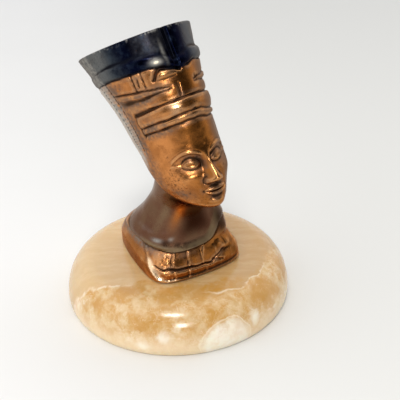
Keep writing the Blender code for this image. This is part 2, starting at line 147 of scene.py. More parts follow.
RIM = SECTIONS[-1][0]
FRONT = [curve(*((s[0], s[1][i]) for s in SECTIONS)) for i in (0, 1)]
BACK = [curve(*((s[0], s[2][i]) for s in SECTIONS)) for i in (0, 1)]
HALF_WIDTH, FRONT_SQUARE, BACK_SQUARE = (
    curve(*((s[0], s[i]) for s in SECTIONS)) for i in (3, 4, 5)
)
WIDEST = curve((0, 0.5), (8.3, 0.5), (10.4, 0.46), (16.4, 0.46), (RIM, 0.48))

# The shoulder block widens to the front, bows forward and a little to its sides, and has small
# round corners.
BLOCK_TAPER = 0.125
BLOCK_BOW = 0.125
BLOCK_SIDE_BOW = 0.12
BLOCK_SQUARE = 8.0
BLOCK_HALF = (14.2, 18.4)
BLOCK_ENDS, OVAL_STARTS = 1.7, 3.9

# The casting leans to its right, and its head is turned a little to its left.
SIDE_LEAN = math.radians(5.5)
LEAN_STARTS, LEAN_ENDS = 8.0, 32.0
LEAN_FOOT = 4.0
HEAD_TURN = math.radians(3.5)
NECK_AXIS = 3.0


def block_outline():
    """The shoulder block's half outline: distance along it, then the shares forward and across."""
    turn = np.linspace(0, np.pi, 2001)
    across = np.abs(np.sin(turn)) ** (2 / BLOCK_SQUARE)
    along = np.sign(np.cos(turn)) * np.abs(np.cos(turn)) ** (2 / BLOCK_SQUARE)
    wide = across * (1 + BLOCK_TAPER * along + BLOCK_SIDE_BOW * (1 - along**2))
    deep = along * (1 - BLOCK_BOW * across**2 * (along > 0))
    pieces = np.hypot(np.diff(wide) * BLOCK_HALF[0], np.diff(deep) * BLOCK_HALF[1])
    return np.concatenate([[0], np.cumsum(pieces)]), (deep + 1) / 2, wide


OUTLINE = block_outline()
OUTLINE_LENGTH = OUTLINE[0][-1]


def skin(foot, turn, station):
    """Points (across, forward, up) of the bust's plain form.

    foot is the distance from the front along the block's outline, turn the angle round the head.
    """
    across, along = np.abs(np.sin(turn)), np.cos(turn)
    square = np.where(along >= 0, FRONT_SQUARE(station), BACK_SQUARE(station))
    widest = WIDEST(station)
    reach = np.where(along >= 0, 1 - widest, -widest)
    deep = widest + reach * np.abs(along) ** (2 / square)
    wide = across ** (2 / square)
    oval = step(BLOCK_ENDS, OVAL_STARTS, station)
    block_deep = np.interp(foot, OUTLINE[0], OUTLINE[1])
    block_wide = np.interp(foot, OUTLINE[0], OUTLINE[2])
    deep = block_deep * (1 - oval) + deep * oval
    wide = block_wide * (1 - oval) + wide * oval
    ends = [(back(station), front(station)) for back, front in zip(BACK, FRONT)]
    forward, up = (back + (front - back) * deep for back, front in ends)
    return HALF_WIDTH(station) * wide, forward, up


def round_from_front(turn, station):
    """The distance round the section from its front."""
    deep = FRONT[0](station) - BACK[0](station)
    return turn * (HALF_WIDTH(station) + deep / 2) / 2


# The face has its own frame, tilted back with the head: depth and height from under the chin.
# It is laid out in a drawing book's thirds, from chin to nose, brow and hairline. CHIN and the
# jaw's sections were set against the photograph, an open fault.
HEAD_TILT = math.radians(15.5)
CHIN = (26.9, 29.2)
FACE_HEIGHT = 25.6
THIRD = FACE_HEIGHT / 3
FACE_AXIS = -11.5
FACE_RADIUS = 12.5


def head_frame(forward, up):
    """Depth and height in the face's frame."""
    f, u = forward - CHIN[0], up - CHIN[1]
    cos, sin = math.cos(HEAD_TILT), math.sin(HEAD_TILT)
    return f * cos + u * sin, u * cos - f * sin


# In its forms a is the distance round from the middle line, 0 or more, and u is the height.
BROW = 2 * THIRD
NOSE_BASE = THIRD - 0.25
NOSE_TIP = THIRD + 1.1
NOSE_ROOT = BROW - 1.2
NOSE_RISE = curve(
    (NOSE_BASE - 0.9, 0), (NOSE_BASE, 1.7), (NOSE_BASE + 0.8, 3.1), (NOSE_TIP, 3.3),
    (NOSE_TIP + 1.3, 2.85), (NOSE_ROOT - 2.4, 1.75), (NOSE_ROOT, 1.0), (NOSE_ROOT + 2.6, 0),
)
NOSE_HALF = curve(
    (NOSE_BASE, 1.8), (NOSE_TIP, 1.7), (NOSE_TIP + 1.6, 1.3), (NOSE_ROOT - 2, 1.05),
    (NOSE_ROOT + 2.6, 2.2),
)
WING = (1.75, NOSE_BASE + 0.75)
WING_CREASE = (1.15, 1.2)
NOSTRIL = (0.95, NOSE_BASE - 0.05)


def nose(a, u):
    """The bridge, and the crease behind each wing."""
    q = np.clip(u, NOSE_BASE - 0.9, NOSE_ROOT + 2.6)
    bridge = NOSE_RISE(q) * line(a, NOSE_HALF(np.clip(q, NOSE_BASE, None)), 2.3)
    off = np.hypot((a - WING[0]) / WING_CREASE[0], (u - WING[1]) / WING_CREASE[1])
    return bridge - 0.3 * line(off - 1, 0.18) * (a > WING[0])


EYE = (4.75, BROW - 2.75)
EYE_HALF = (3.0, 1.45)
LINE_LENGTH = 3.4


def lids(a):
    """How far the upper and the lower lid are above the eye's middle."""
    t = np.clip((a - EYE[0]) / EYE_HALF[0], -1, 1)
    arch = 1 - t * t
    return EYE_HALF[1] * arch * (0.92 + 0.1 * t) + 0.22 * t, 0.22 * t - EYE_HALF[1] * 0.72 * arch


def eyes(a, u):
    """The ball between two lids with their rims, and the painted line's tail."""
    upper, lower = lids(a)
    rise = u - EYE[1]
    corner = EYE[0] + EYE_HALF[0]
    across = within(a, EYE[0] - 0.93 * EYE_HALF[0], EYE[0] + 0.93 * EYE_HALF[0], 0.35)
    ball = step(-0.15, 0.3, rise - lower) * step(-0.15, 0.3, upper - rise)
    ball = ball * (1 - 0.55 * ((a - EYE[0]) / EYE_HALF[0]) ** 2)
    rims = line(rise - upper - 0.16, 0.24) + 0.6 * line(rise - lower + 0.1, 0.22)
    edges = line(rise - upper + 0.2, 0.12) + 0.8 * line(rise - lower - 0.22, 0.12)
    crease = line(rise - upper - 0.85, 0.25)
    along = np.clip((a - corner + 0.4) / 4, 0, 1)
    painted = line(rise - 0.18 - 0.35 * along, 0.34)
    painted = painted * within(a, corner - 0.3, corner + LINE_LENGTH, 0.4)
    return across * (0.82 * ball + 0.36 * rims - 0.2 * crease - 0.2 * edges) + 0.3 * painted


BROW_ENDS = (1.6, 10.6)
BROW_ARCH = 1.9


def brows(a, u):
    """A thin arched ridge with a faint edge on each side."""
    t = np.clip((a - 1.5) / 9.6, 0, 1)
    arch = BROW - 0.35 + BROW_ARCH * np.sin(np.pi * t**0.85) - 0.9 * t
    ridge = line(u - arch, 0.5, 2.6) * within(a, *BROW_ENDS, 0.8)
    edges = line(np.abs(u - arch) - 0.72, 0.16) * within(a, *BROW_ENDS, 0.5)
    return 0.36 * ridge - 0.1 * edges


MOUTH = THIRD * 2 / 3
MOUTH_HALF = 3.3


def lips(a, u):
    """Two full lips, closed, and the groove over them."""
    t = np.clip(a / MOUTH_HALF, 0, 1)
    parting = MOUTH + 0.3 * t**2 - 0.1 * (1 - t)
    full = np.sqrt(1 - t**2)
    top = 1.3 * full * (1 - 0.18 * line(a, 0.5)) * (1 - 0.35 * t)
    low = 1.4 * full * (1 - 0.2 * t)
    rise = u - parting
    upper = np.clip(1 - ((rise - top / 2) / (top / 2 + 0.2)) ** 2, 0, 1) ** 0.85
    lower = np.clip(1 - ((rise + low / 2) / (low / 2 + 0.2)) ** 2, 0, 1) ** 0.85
    both = np.where(rise > 0, 0.6 * upper, 0.7 * lower) * step(0, 0.25, full)
    gap = line(rise, 0.2) * (1 - step(0.85, 1.06, a / MOUTH_HALF))
    lip_groove = line(a, 0.42) * within(u, MOUTH + 1.3, NOSE_BASE - 0.2, 0.3)
    return both - 0.55 * gap - 0.22 * lip_groove


# The face's soft forms: each one's strength, middle, reach and steepness
FACE_FORMS = (
    (0.8, WING, (0.8, 0.85), 2.4),
    (-0.45, NOSTRIL, (0.42, 0.3)),
    (-1.15, (EYE[0] - 0.5, EYE[1] + 0.5), (4.6, 2.7), 2.6),  # socket
    (-0.5, (EYE[0] - EYE_HALF[0] - 0.1, EYE[1]), (1.0, 1.5)),  # inner corner
    (0.35, (4.6, BROW + 0.4), (4.6, 1.7), 2.4),  # shelf of the brow
    (0.65, (0, MOUTH + 0.4), (4.6, 3.6), 2.4),  # round the mouth
    (-0.28, (MOUTH_HALF + 0.2, MOUTH + 0.3), (0.6, 0.55)),  # corner of the mouth
    (-0.4, (0, MOUTH - 2), (2.3, 0.62)),  # under the lip
    (0.55, (7.6, THIRD + 2.2), (3.6, 3.0)),  # cheekbone
    (-0.35, (7.4, MOUTH + 0.6), (2.6, 2.8)),  # hollow of the cheek
    (-0.3, (3.2, THIRD - 0.2), (0.9, 1.6)),  # fold beside the nose
    (0.85, (0, 1.75), (2.9, 1.75), 2.4),  # ball of the chin
    (-0.25, (11.0, BROW + 2), (3.0, 4.0)),  # temple
)


def face_relief(a, u):
    """How far the whole face stands out from the plain form."""
    soft = sum(form[0] * mound(a, u, *form[1:]) for form in FACE_FORMS)
    return soft + nose(a, u) + eyes(a, u) + brows(a, u) + lips(a, u)


# The crown's bands follow its sections, so they are placed by station, one under another from
# the rim down: the plain top, the ribbon and the brow band, with bare strips between them.
TOP_DEPTH = 1.45
RIBBON_WIDTH = 0.55
BAND_WIDTH = 1.1
BAND_PARTING = 0.33
STRIPS = (0.98, 0.57)
TOP_ZONE = RIM - TOP_DEPTH
RIBBON = (TOP_ZONE - STRIPS[0] - RIBBON_WIDTH, TOP_ZONE - STRIPS[0])
BROW_BAND = (RIBBON[0] - STRIPS[1] - BAND_WIDTH, RIBBON[0] - STRIPS[1])
LIP_HALF = 0.3
FRONT_GROOVE = 1.05
FRONT_PANEL = 7.4
RIBBON_START, RIBBON_FULL = math.radians(40), math.radians(90)
RIBBON_RISE = 0.32
LIP_RISE = 0.16
RISE = curve(
    (0, 0), (BROW_BAND[1], 0), (RIBBON[0], RIBBON_RISE), (RIBBON[1], RIBBON_RISE),
    (TOP_ZONE, LIP_RISE), (RIM, 0),
)
BAND_END = math.radians(71)
END_GROOVE_HALF = math.radians(1.2)
BACK_PANEL = math.radians(96)
BACK_PANEL_FOOT = 13.6
STATION_SIZE = 4.8

# Marks that are on one side only are placed by their signed distance round from the front, + to
# the figure's left. The lip's lower edge dips at the front, and three strokes are cut beside it.
LIP_DIP = curve(
    (-24.0, -0.16), (-17.0, -0.02), (-9.5, 0.0), (-5.0, -0.16), (0.0, -0.52), (3.5, -0.45),
    (7.0, -0.26), (11.0, -0.3),
)
STROKES = (
    ((-13.3, 17.82), (-13.0, 16.9)),
    ((-11.9, 17.5), (-12.0, 17.1)),
    ((-10.6, 17.82), (-10.4, 16.98)),
)
HOOK = ((-7.6, 17.2), (-6.6, 17.5), (-5.4, 17.66), (-3.0, 17.6), (0.5, 17.36))
HOOK_HALF = 0.5
HOOK_SHADE = ((-6.9, 17.1), (-4.5, 17.04), (-1.5, 17.08))
NOTCH = ((-1.7, 16.6), (-2.2, 15.98))
FAR_NOTCH = ((5.2, 16.75), (5.8, 16.5), (6.4, 16.72))
# The ribbon narrows to a point in front, and small ribs run down the edge behind it.
RIBBON_POINT = 3.8
RIBBON_WIDE = 13.0
EDGE_RIBS = (math.radians(85), math.radians(98))
RIB_PITCH = 0.21
# The hand-tooled lines wander by so many stations and vary in depth.
WANDER = 0.014
WANDER_WAVES = ((10, 11.0), (12, 4.5))
WANDER_SEED, DEPTH_SEED = 40, 61


def tooled(signed, station):
    """How far a hand-tooled line wanders (in stations) and how deep it is (about 1)."""
    flat = np.stack([signed, station * STATION_SIZE, signed * 0], -1)
    off = sum(waves(flat, count, length, WANDER_SEED + count) for count, length in WANDER_WAVES)
    depth = 0.95 + 0.3 * waves(flat, 14, 4.0, DEPTH_SEED)
    return WANDER * off, np.clip(depth, 0.4, 1.4)


def brow_band(signed, station, turn, depth):
    """Two strips over the brow, parted by a cut, which end in a groove before the crown's edge."""
    low, high = BROW_BAND
    middle = low + BAND_PARTING * BAND_WIDTH - 0.17 * step(3, 8, signed)
    low = low - 0.13 * step(1, 7, signed)
    wedge = 0.05 + 0.06 * step(8.5, 14.0, np.abs(signed))
    band = 0.42 * within(station, low, high, 0.07)
    band += 0.36 * line(station - (middle + high) / 2, 0.32)
    thin = line(station - (low + middle) / 2, 0.11, 2.4)
    band += 0.16 * thin * (1 - step(10.0, 13.5, np.abs(signed)))
    cuts = 0.5 * line(station - middle, 0.055) + 0.42 * line(station - low + 0.07, 0.06)
    band -= depth * (cuts + 0.55 * line(station - high - 0.06, wedge))
    band *= 1 - step(BAND_END - 0.03, BAND_END + 0.03, turn)
    tall = within(station, low - 0.2, high + 0.15, 0.1)
    return band - 0.5 * depth * tall * line(turn - BAND_END, END_GROOVE_HALF)


def ribbon(signed, station, turn, depth):
    """A flat ribbon between two cuts, which narrows to a point in front."""
    around = np.abs(signed)
    low = RIBBON[0] + 0.2
    high = low + (RIBBON[1] - 0.08 - low) * step(RIBBON_POINT, RIBBON_WIDE, around)
    half = 0.05 + 0.11 * step(8.0, 17.0, around)
    form = 0.3 * within(station, low, high, 0.06)
    form -= depth * 0.42 * line(station - low + 0.01 + half, half, 2.6)
    form -= depth * 0.4 * line(station - high - 0.06, 0.06)
    form *= step(RIBBON_POINT - 0.6, RIBBON_POINT + 1.2, around)
    return form * (1 - step(EDGE_RIBS[0] - 0.08, EDGE_RIBS[0], turn))


def plain_top(signed, station, turn, depth):
    """The lip under the plain top, the set back top, its front panel and groove, and the back."""
    around = np.abs(signed)
    above = station - TOP_ZONE - LIP_DIP(signed)
    lip = 0.5 * line(above - LIP_HALF, LIP_HALF, 2.6) - 0.5 * depth * line(above, 0.06)
    top = step(1.7 * LIP_HALF, 2.3 * LIP_HALF, above)
    worn = 1 - 0.6 * step(1.0, 1.8, turn)
    cut = 1 - step(FRONT_GROOVE - 0.35, FRONT_GROOVE + 0.1, around)
    panel = 0.3 * (1 - step(FRONT_PANEL - 2.5, FRONT_PANEL + 2.5, around)) - cut
    groove = cut * step(-0.3, 0.4, above) * (1 - top)
    back = step(BACK_PANEL, BACK_PANEL + 0.06, turn)
    back = back * step(BACK_PANEL_FOOT - 1, BACK_PANEL_FOOT + 1, station)
    back = back * (1 - step(-1.1 * LIP_HALF, -0.8 * LIP_HALF, above))
    return worn * (lip - 0.6 * top) + top * panel + 0.2 * back - 0.5 * groove


def crown(signed, station, turn):
    """Relief of the headdress. signed is the distance from the front, round the section."""
    wander, depth = tooled(signed, station)
    relief = marks(signed, station, turn, depth)
    for form in (brow_band, ribbon, plain_top):
        relief = relief + form(signed, station + wander, turn, depth)
    return relief


def path(signed, station, points, half):
    """1 along a cut through several points."""
    cuts = [stroke(signed, station, a, b, half, STATION_SIZE) for a, b in zip(points, points[1:])]
    return np.max(cuts, 0)


def marks(signed, station, turn, depth):
    """The crown's small cuts, and the ribs down the edge of its back panel."""
    small = sum(path(signed, station, ends, 0.27) for ends in STROKES)
    cuts = 0.4 * small + 0.75 * path(signed, station, HOOK, HOOK_HALF)
    cuts = cuts + 0.25 * path(signed, station, HOOK_SHADE, 0.22)
    notches = 0.35 * path(signed, station, NOTCH, 0.3)
    notches = notches + 0.3 * path(signed, station, FAR_NOTCH, 0.28)
    boss = 0.3 * mound(signed, station, (-4.0, 17.3), (2.6, 0.2), 2.6)
    tall = within(station, BROW_BAND[0] - 1.2, TOP_ZONE - 0.15, 0.06)
    ribs = 0.12 * (1 + np.cos(2 * np.pi * station / RIB_PITCH)) * within(turn, *EDGE_RIBS, 0.02)
    middle, half = sum(EDGE_RIBS) / 2, (EDGE_RIBS[1] - EDGE_RIBS[0]) / 2
    ribs = ribs - 0.25 * line(np.abs(turn - middle) - half, 0.02)
    return boss - cuts - depth * notches + tall * ribs


# The collar: two rows of plates parted by ribs and a groove, on the front of the shoulder block.
# All are placed by the signed distance from the front along the block's foot.
# Each rib has its place and its height.
HIGH_RIBS = ((-10.8, 1.0), (-5.2, 1.0), (-0.2, 0.85), (5.0, 0.2), (10.6, 0.1))
LOW_RIBS = ((-10.3, 0.5), (-5.4, 0.85), (0.6, 0.5), (6.2, 0.12), (11.0, 0.1))
COLLAR_ENDS = (-17.6, 17.2)
COLLAR_SEED = 71
COLLAR_GROOVE = curve(
    (-17.4, 5.1), (-11.9, 4.2), (-5.9, 3.8), (-1.0, 3.5), (2.4, 3.5), (4.4, 4.3), (6.4, 5.3),
    (8, 5.9), (16, 6.2),
)
GROOVE_DEPTH = curve(
    (-17.8, 0.2), (-16.6, 0.8), (-11.9, 1.0), (4.5, 0.95), (7.5, 0.45), (10.0, 0.15), (18.0, 0.1),
)
BRANCH = ((3.2, 4.2), (5.2, 3.6), (7.0, 3.1))
PLATE_FOOT = 0.9
# The block's right front corner is a raised edge that drifts back as it rises.
CORNER = curve(
    (0.0, -13.9), (2.5, -17.3), (5.9, -20.7), (7.5, -25.0), (9.5, -32.0),
)
CORNER_HALF = 0.9
CORNER_RISE = 0.75
FIRST_MARK = ((-17.4, 7.6), (-16.9, 5.9))
# The neckline: the station that the neck's foot ends at, by the angle round from the front
NECKLINE = curve(
    (-180, 4.9), (-114, 4.4), (-82, 3.45), (-56, 3.3), (-28, 3.05), (-2, 3.25), (15, 4.35),
    (32, 5.0), (55, 5.1), (85, 4.8), (114, 4.6), (180, 4.9),
)


def collar(signed, station, turned, up):
    """Relief of the collar. turned is the signed angle round from the front in degrees."""
    flat = np.stack([signed, up, signed * 0], -1)
    groove = COLLAR_GROOVE(signed) + 0.16 * waves(flat, 10, 5.0, COLLAR_SEED)
    shaky = signed + 0.14 * waves(flat, 10, 2.5, COLLAR_SEED + 1)
    low_row = within(up, PLATE_FOOT, groove - 0.55, 0.15)
    high_row = step(groove + 0.4, groove + 0.75, up)
    high_row = high_row * (1 - step(-0.2, -0.08, station - NECKLINE(turned)))
    ribs = 0
    for places, row, lean in ((HIGH_RIBS, high_row, 0.12 * (up - 6.5)), (LOW_RIBS, low_row, 0)):
        for at, height in places:
            off = shaky - at + lean * np.sign(at)
            form = 0.46 * line(off, 0.26, 2.4) - 0.26 * line(off + 0.55, 0.22)
            ribs = ribs + height * row * form
    cuts = 0.85 * GROOVE_DEPTH(signed) * line(up - groove, 0.36, 2.6)
    branch = [stroke(signed, up, a, b, 0.3) for a, b in zip(BRANCH, BRANCH[1:])]
    cuts = cuts + 0.35 * np.max(branch, 0) + 0.4 * stroke(signed, up, *FIRST_MARK, 0.3)
    foot_line = 0.24 * line(up - 0.7, 0.3, 2.6) - 0.17 * line(up - 1.35, 0.24)
    foot_line = foot_line * within(signed, -13.0, 19.0, 1.0)
    dents = 0.096 * waves(flat, 16, 3.2, COLLAR_SEED + 2) * step(3.0, 8.0, signed)
    dents = dents * step(1.5, 3.0, up)
    small = 0.072 * waves(flat, 16, 1.6, COLLAR_SEED + 3)
    dents = dents + small * within(signed, -16.5, -11.0, 1.0)
    relief = within(signed, *COLLAR_ENDS, 0.4) * (ribs - cuts) + dents + foot_line
    return relief * (station < 3.4)


def corner(signed, station, up):
    """The raised edge at the block's right front corner."""
    off = signed - CORNER(up)
    edge = CORNER_RISE * line(off, CORNER_HALF, 1.5) - 0.16 * line(np.abs(off) - 2.4, 1.4)
    return edge * step(0.4, 1.4, up) * (station < 3.3)


def neckline(station, turned):
    """The neck's foot: its satin edge rolls over a thin groove."""
    above = station - NECKLINE(turned)
    roll = step(-0.02, 0.16, above) * (1 - step(0.2, 1.5, above))
    return 0.34 * roll - 0.34 * line(above + 0.05, 0.06)


def carved(foot, turn, station, side):
    """Points (across, forward, up) of the bust's right (side -1) or left (side 1) half."""
    rise = RISE(station) * step(RIBBON_START, RIBBON_FULL, turn)
    across, forward, up = skin(foot, turn, station + rise)
    f, u = head_frame(forward, up)
    yaw = np.arctan2(across, f - FACE_AXIS)
    face = face_relief(FACE_RADIUS * yaw, u)
    face = face * step(9, 9.5, station) * (1 - step(1.15, 1.45, yaw))
    face = face * (1 - step(BROW_BAND[0] - 0.4, BROW_BAND[0] - 0.05, station))
    dress = crown(side * round_from_front(turn, station), station, turn)
    dress = dress * step(9.3, 9.6, station)
    deep, tall = (front(station) - back(station) for front, back in zip(FRONT, BACK))
    slope = np.arctan2(tall, deep)
    turned = side * np.degrees(turn)
    plates = collar(side * foot, station, turned, up)
    edge = corner(side * foot, station, up)
    seam = neckline(station, turned)
    out = face * np.cos(yaw)
    across = across + face * np.sin(yaw) + dress * np.sin(turn) + plates * 0.35 * step(11, 15, foot)
    across = across + seam * np.sin(turn) + 0.75 * edge
    forward = forward + out * math.cos(HEAD_TILT) + dress * np.cos(turn) * np.cos(slope) + plates
    forward = forward + seam * np.cos(turn) + 0.65 * edge
    up = up + out * math.sin(HEAD_TILT) + dress * np.cos(turn) * np.sin(slope)
    return side * across, forward, up


def pose(across, forward, up):
    """Lean the casting to its right above its foot, and turn the head. across is + on its left."""
    lean = SIDE_LEAN * step(LEAN_STARTS, LEAN_ENDS, up)
    turn = HEAD_TURN * step(9, 30, up)
    rise, ahead = up - LEAN_FOOT, forward - NECK_AXIS
    leant = across * np.cos(lean) - rise * np.sin(lean)
    height = LEAN_FOOT + rise * np.cos(lean) + across * np.sin(lean)
    return (
        leant * np.cos(turn) + ahead * np.sin(turn),
        NECK_AXIS + ahead * np.cos(turn) - leant * np.sin(turn),
        height,
    )


# The fine mesh. Columns run from the foot to the rim, and rows go round.
HALF_COLUMNS = 148
ROWS = 316
FOOT_TO_TURN = curve(
    (0, 0), (2.4, 5.5), (7.2, 19), (12, 37), (14.7, 54), (21.8, 60.5), (32.6, 73.5), (39.7, 87.5),
    (46.9, 101), (50.1, 129), (OUTLINE_LENGTH, 180),
)
COLUMN_DENSITY = curve((0, 2.3), (50, 2.1), (70, 1.5), (100, 1.2), (180, 1.0))
ROW_DENSITY = curve(
    (0, 15), (3.0, 15), (3.6, 11), (5.5, 7), (9.2, 8), (9.8, 24), (13.6, 24), (14.2, 21),
    (RIM, 20),
)


def spaced(values, density, count):
    """count + 1 of the values, closest together where the density is high."""
    gaps = np.diff(values) * (density[1:] + density[:-1]) / 2
    reach = np.concatenate([[0], np.cumsum(gaps)])
    return np.interp(np.linspace(0, reach[-1], count + 1), reach, values)


def fine_columns():
    """Distances along the block's foot and angles round the head of the fine mesh's columns."""
    foot = np.linspace(0, OUTLINE_LENGTH, 6001)
    turn = FOOT_TO_TURN(foot)
    per_turn = np.gradient(turn, foot) * COLUMN_DENSITY(turn) / 180
    chosen = spaced(foot, 0.6 / OUTLINE_LENGTH + per_turn, HALF_COLUMNS)
    return chosen, np.radians(FOOT_TO_TURN(chosen))


def blurred(grid, rows, columns):
    """The grid averaged over rows and columns to each side. Its columns are closed to a ring."""
    padded = np.concatenate([grid[:1]] * rows + [grid] + [grid[-1:]] * rows, 0)
    total = sum(padded[i : i + len(grid)] for i in range(2 * rows + 1)) / (2 * rows + 1)
    return sum(np.roll(total, i, 1) for i in range(-columns, columns + 1)) / (2 * columns + 1)


def normals(grid):
    """Outward unit normals of a grid whose columns go all the way round."""
    across = np.roll(grid, -1, 1) - np.roll(grid, 1, 1)
    along = np.gradient(grid, axis=0)
    out = np.cross(across, along)
    return out / np.maximum(np.linalg.norm(out, axis=-1, keepdims=True), 1e-12)


WAVINESS = ((14, 9.0, 0.03), (18, 3.4, 0.016), (22, 1.5, 0.006))
PIT_COUNT = 190
PIT_SIZE = (0.16, 0.34)
PIT_SEED, WAVINESS_SEED = 3, 7


def pits(points, share, seed):
    """Small pits in the casting, scattered by chance where their share is high."""
    random = np.random.RandomState(seed)
    flat = points.reshape(-1, 3)
    depth = np.zeros(len(flat))
    odds = share.ravel() / share.sum()
    for i in random.choice(len(flat), PIT_COUNT, p=odds):
        size = random.uniform(*PIT_SIZE)
        far = np.linalg.norm(flat - flat[i], axis=1)
        depth = np.maximum(depth, 0.45 * size * np.exp(-((far / size) ** 2)))
    return depth.reshape(points.shape[:-1])


RIM_ROUND = 0.45
RIM_RINGS = 5
TOP_RINGS = 12
TOP_DOME = 0.5


def joined(right, left):
    """Both halves as one ring of columns, from the back round the right side."""
    return np.concatenate([right[:, :0:-1], left[:, :-1]], 1)


def cast_bust():
    """The bust's fine mesh, with its relief, and where each of its points is on the plain form."""
    foot, turn = fine_columns()
    station = np.linspace(0, RIM, 6001)
    foot, rows = np.meshgrid(foot, spaced(station, ROW_DENSITY(station), ROWS))
    turn = np.broadcast_to(turn, foot.shape)
    halves = [np.stack(pose(*carved(foot, turn, rows, side)), -1) for side in (-1, 1)]
    grid = joined(*halves) * (1, -1, 1)
    turned = np.degrees(joined(-turn, turn))
    rows, at = joined(rows, rows), joined(-foot, foot)
    rough = sum(size * waves(grid, n, length, WAVINESS_SEED + n) for n, length, size in WAVINESS)
    rough = rough - pits(grid, 0.03 + pitted_zone(turned, rows, at), PIT_SEED)
    grid = grid + normals(grid) * (rough * step(0.0, 0.6, rows))[..., None]
    return grid, turned, rows, at


# Oval spots of patina, wear, pits, painted shade, painted highlights and painted reflections: each
# one's strength, middle, reach and steepness. AROUND ones are placed by the distance round from the
# front, PITTED_PLATE by the distance along the foot, the others by the angle, and all by station.
GREY_AROUND = (
    (1.0, (-12.8, BROW_BAND[0] + 0.22), (4.4, 0.4)),  # at the brow band's end
    (0.5, (-13.4, BROW_BAND[1] - 0.3), (2.6, 0.45)),  # over it
    (0.8, (-17.5, BROW_BAND[0] - 0.25), (2.2, 0.35)),  # under it
    (0.8, (-19.5, RIBBON[1] + 0.45), (3.0, 0.4)),  # over the ribbon
    (0.95, (-8.0, 16.6), (4.0, 0.3)),  # in front
)
GREY_SPOTS = (
    (0.6, (-50, 10.2), (15, 0.42)),  # under the jaw
    (0.95, (-90, 3.15), (36, 0.5), 3.0),  # on the shoulder's ledge
)
WEAR_AND_HIGHLIGHT_AROUND = (
    # a painted highlight on the lip
    (1.1, (-5.6, TOP_ZONE + 0.14), (1.5, 0.16)),  # on the lip
    (0.6, (-2.7, TOP_ZONE + 0.5), (0.5, 0.5)),  # beside the front groove
)
NECK_HIGHLIGHT_SPOTS = (
    # painted highlights on the neck's foot
    (0.8, (-56, 4.62), (9, 0.16), 2.4),  # on the neck's foot
    (0.55, (-33, 4.8), (4, 0.16)),  # in front of that
)
PITTED_SPOTS = (
    (1.0, (-54, 11.0), (13, 0.95), 2.6),  # jaw
    (0.5, (-30, 9.9), (26, 0.45), 2.6),  # under the chin
)
PITTED_PLATE = (0.9, (-13.5, 2.2), (2.6, 0.8), 2.6)
ROLL_SPOT = (0.45, (-62, 6.3), (8, 1.1), 2.6)
# A painted highlight on the brow band.
BAND_HIGHLIGHT_SPOT = (0.32, (-22, BROW_BAND[1] - 0.27), (7, 0.3), 2.4)
# A painted reflection: warm orange light from the stone and collar on the neck under the chin.
GLOW_SPOT = (1.0, (-34, 6.95), (9, 0.95))
MOTTLE_SEED = 91
# Painted shade in dark brown: low on the neck's front and under the jaw, in the chin's shade, and
# on the far shoulder and its corner.
PAINTED_SHADE_SPOTS = (
    (1.0, (-4, 5.95), (18, 1.1), 2.8),  # low on the neck's front
    (0.8, (-26, 8.1), (34, 0.45), 2.4),  # under the jaw
    (1.0, (37, 4.95), (18, 1.3), 3.0),  # on the far shoulder
    (0.5, (42, 1.9), (9, 1.0)),  # on the far corner
)


def surface_marks(grid, turned, rows, at):
    """Shares from 0 to 1 at each point: grooves, hollows, high edges and the zones of patina.

    Other zones hold painted shade, painted highlights and painted reflections.
    """
    out = normals(blurred(grid, 2, 2))
    fine = ((blurred(grid, 4, 4) - grid) * out).sum(-1)
    broad = ((blurred(grid, 16, 14) - grid) * out).sum(-1)
    broad = broad - blurred(broad, 30, 30)
    above = rows - NECKLINE(turned)
    groove = step(0.03, 0.19, fine) * (1 - step(0.05, 0.3, above) * (1 - step(9.2, 9.6, rows)))
    groove = np.maximum(groove, line(above + 0.08, 0.2) * within(turned, -128, -58, 8))
    around = round_from_front(np.radians(turned), rows)
    mottle = 0.7 * waves(grid, 26, 2.2, MOTTLE_SEED) + waves(grid, 26, 0.9, MOTTLE_SEED + 1)
    return {
        "groove": groove,
        "edge": step(0.01, 0.12, -fine - 0.01),
        "near": np.clip(2.6 * blurred(groove, 5, 5), 0, 1),
        "hollow": step(-0.25, 0.6, broad),
        "dark_top": step(-0.1, 0.02, rows - TOP_ZONE - LIP_DIP(around)),
        "neck": step(0, 0.12, above) * (1 - step(8.6, 9.4, rows)),
        "grey": grey_zone(around, turned, rows, mottle),
        # worn metal, with painted highlights on the lip and the neck's foot
        "worn": worn_zone(around, turned, rows, mottle),
        "pitted": pitted_zone(turned, rows, at),
        # painted shade from the front round the figure's left side
        "shaded": step(-54, -12, turned) * (1 - step(100, 150, turned)),
        # painted shade under the chin and on the far shoulder
        "deep": spots(turned, rows, *PAINTED_SHADE_SPOTS),
        # painted reflection of warm light on the neck under the chin
        "glow": spots(turned, rows, GLOW_SPOT),
        # a painted reflection of the bright surround on the back of the head at the figure's right
        "silver_reflection": within(turned, -140, -92, 6) * step(11.0, 13.0, rows),
        # painted reflections of the bright surround along the head's edges, where it turns away
        "left_edge_reflection": step(44, 74, -turned),
        "right_edge_reflection": step(15, 37, turned) * step(-140, -110, -turned) * step(9.2, 9.8, rows),
        # the neck's roll, greyed as a painted reflection
        "roll": roll_zone(turned, rows, above),
        # painted highlights on the collar's corner and foot and on the brow band
        "painted_highlight": painted_highlight_zone(turned, rows, at, grid[..., 2]),
        # painted shade on the block's right side
        "side": within(turned, -150, -60, 6) * (1 - step(2.9, 3.2, rows)),
    }


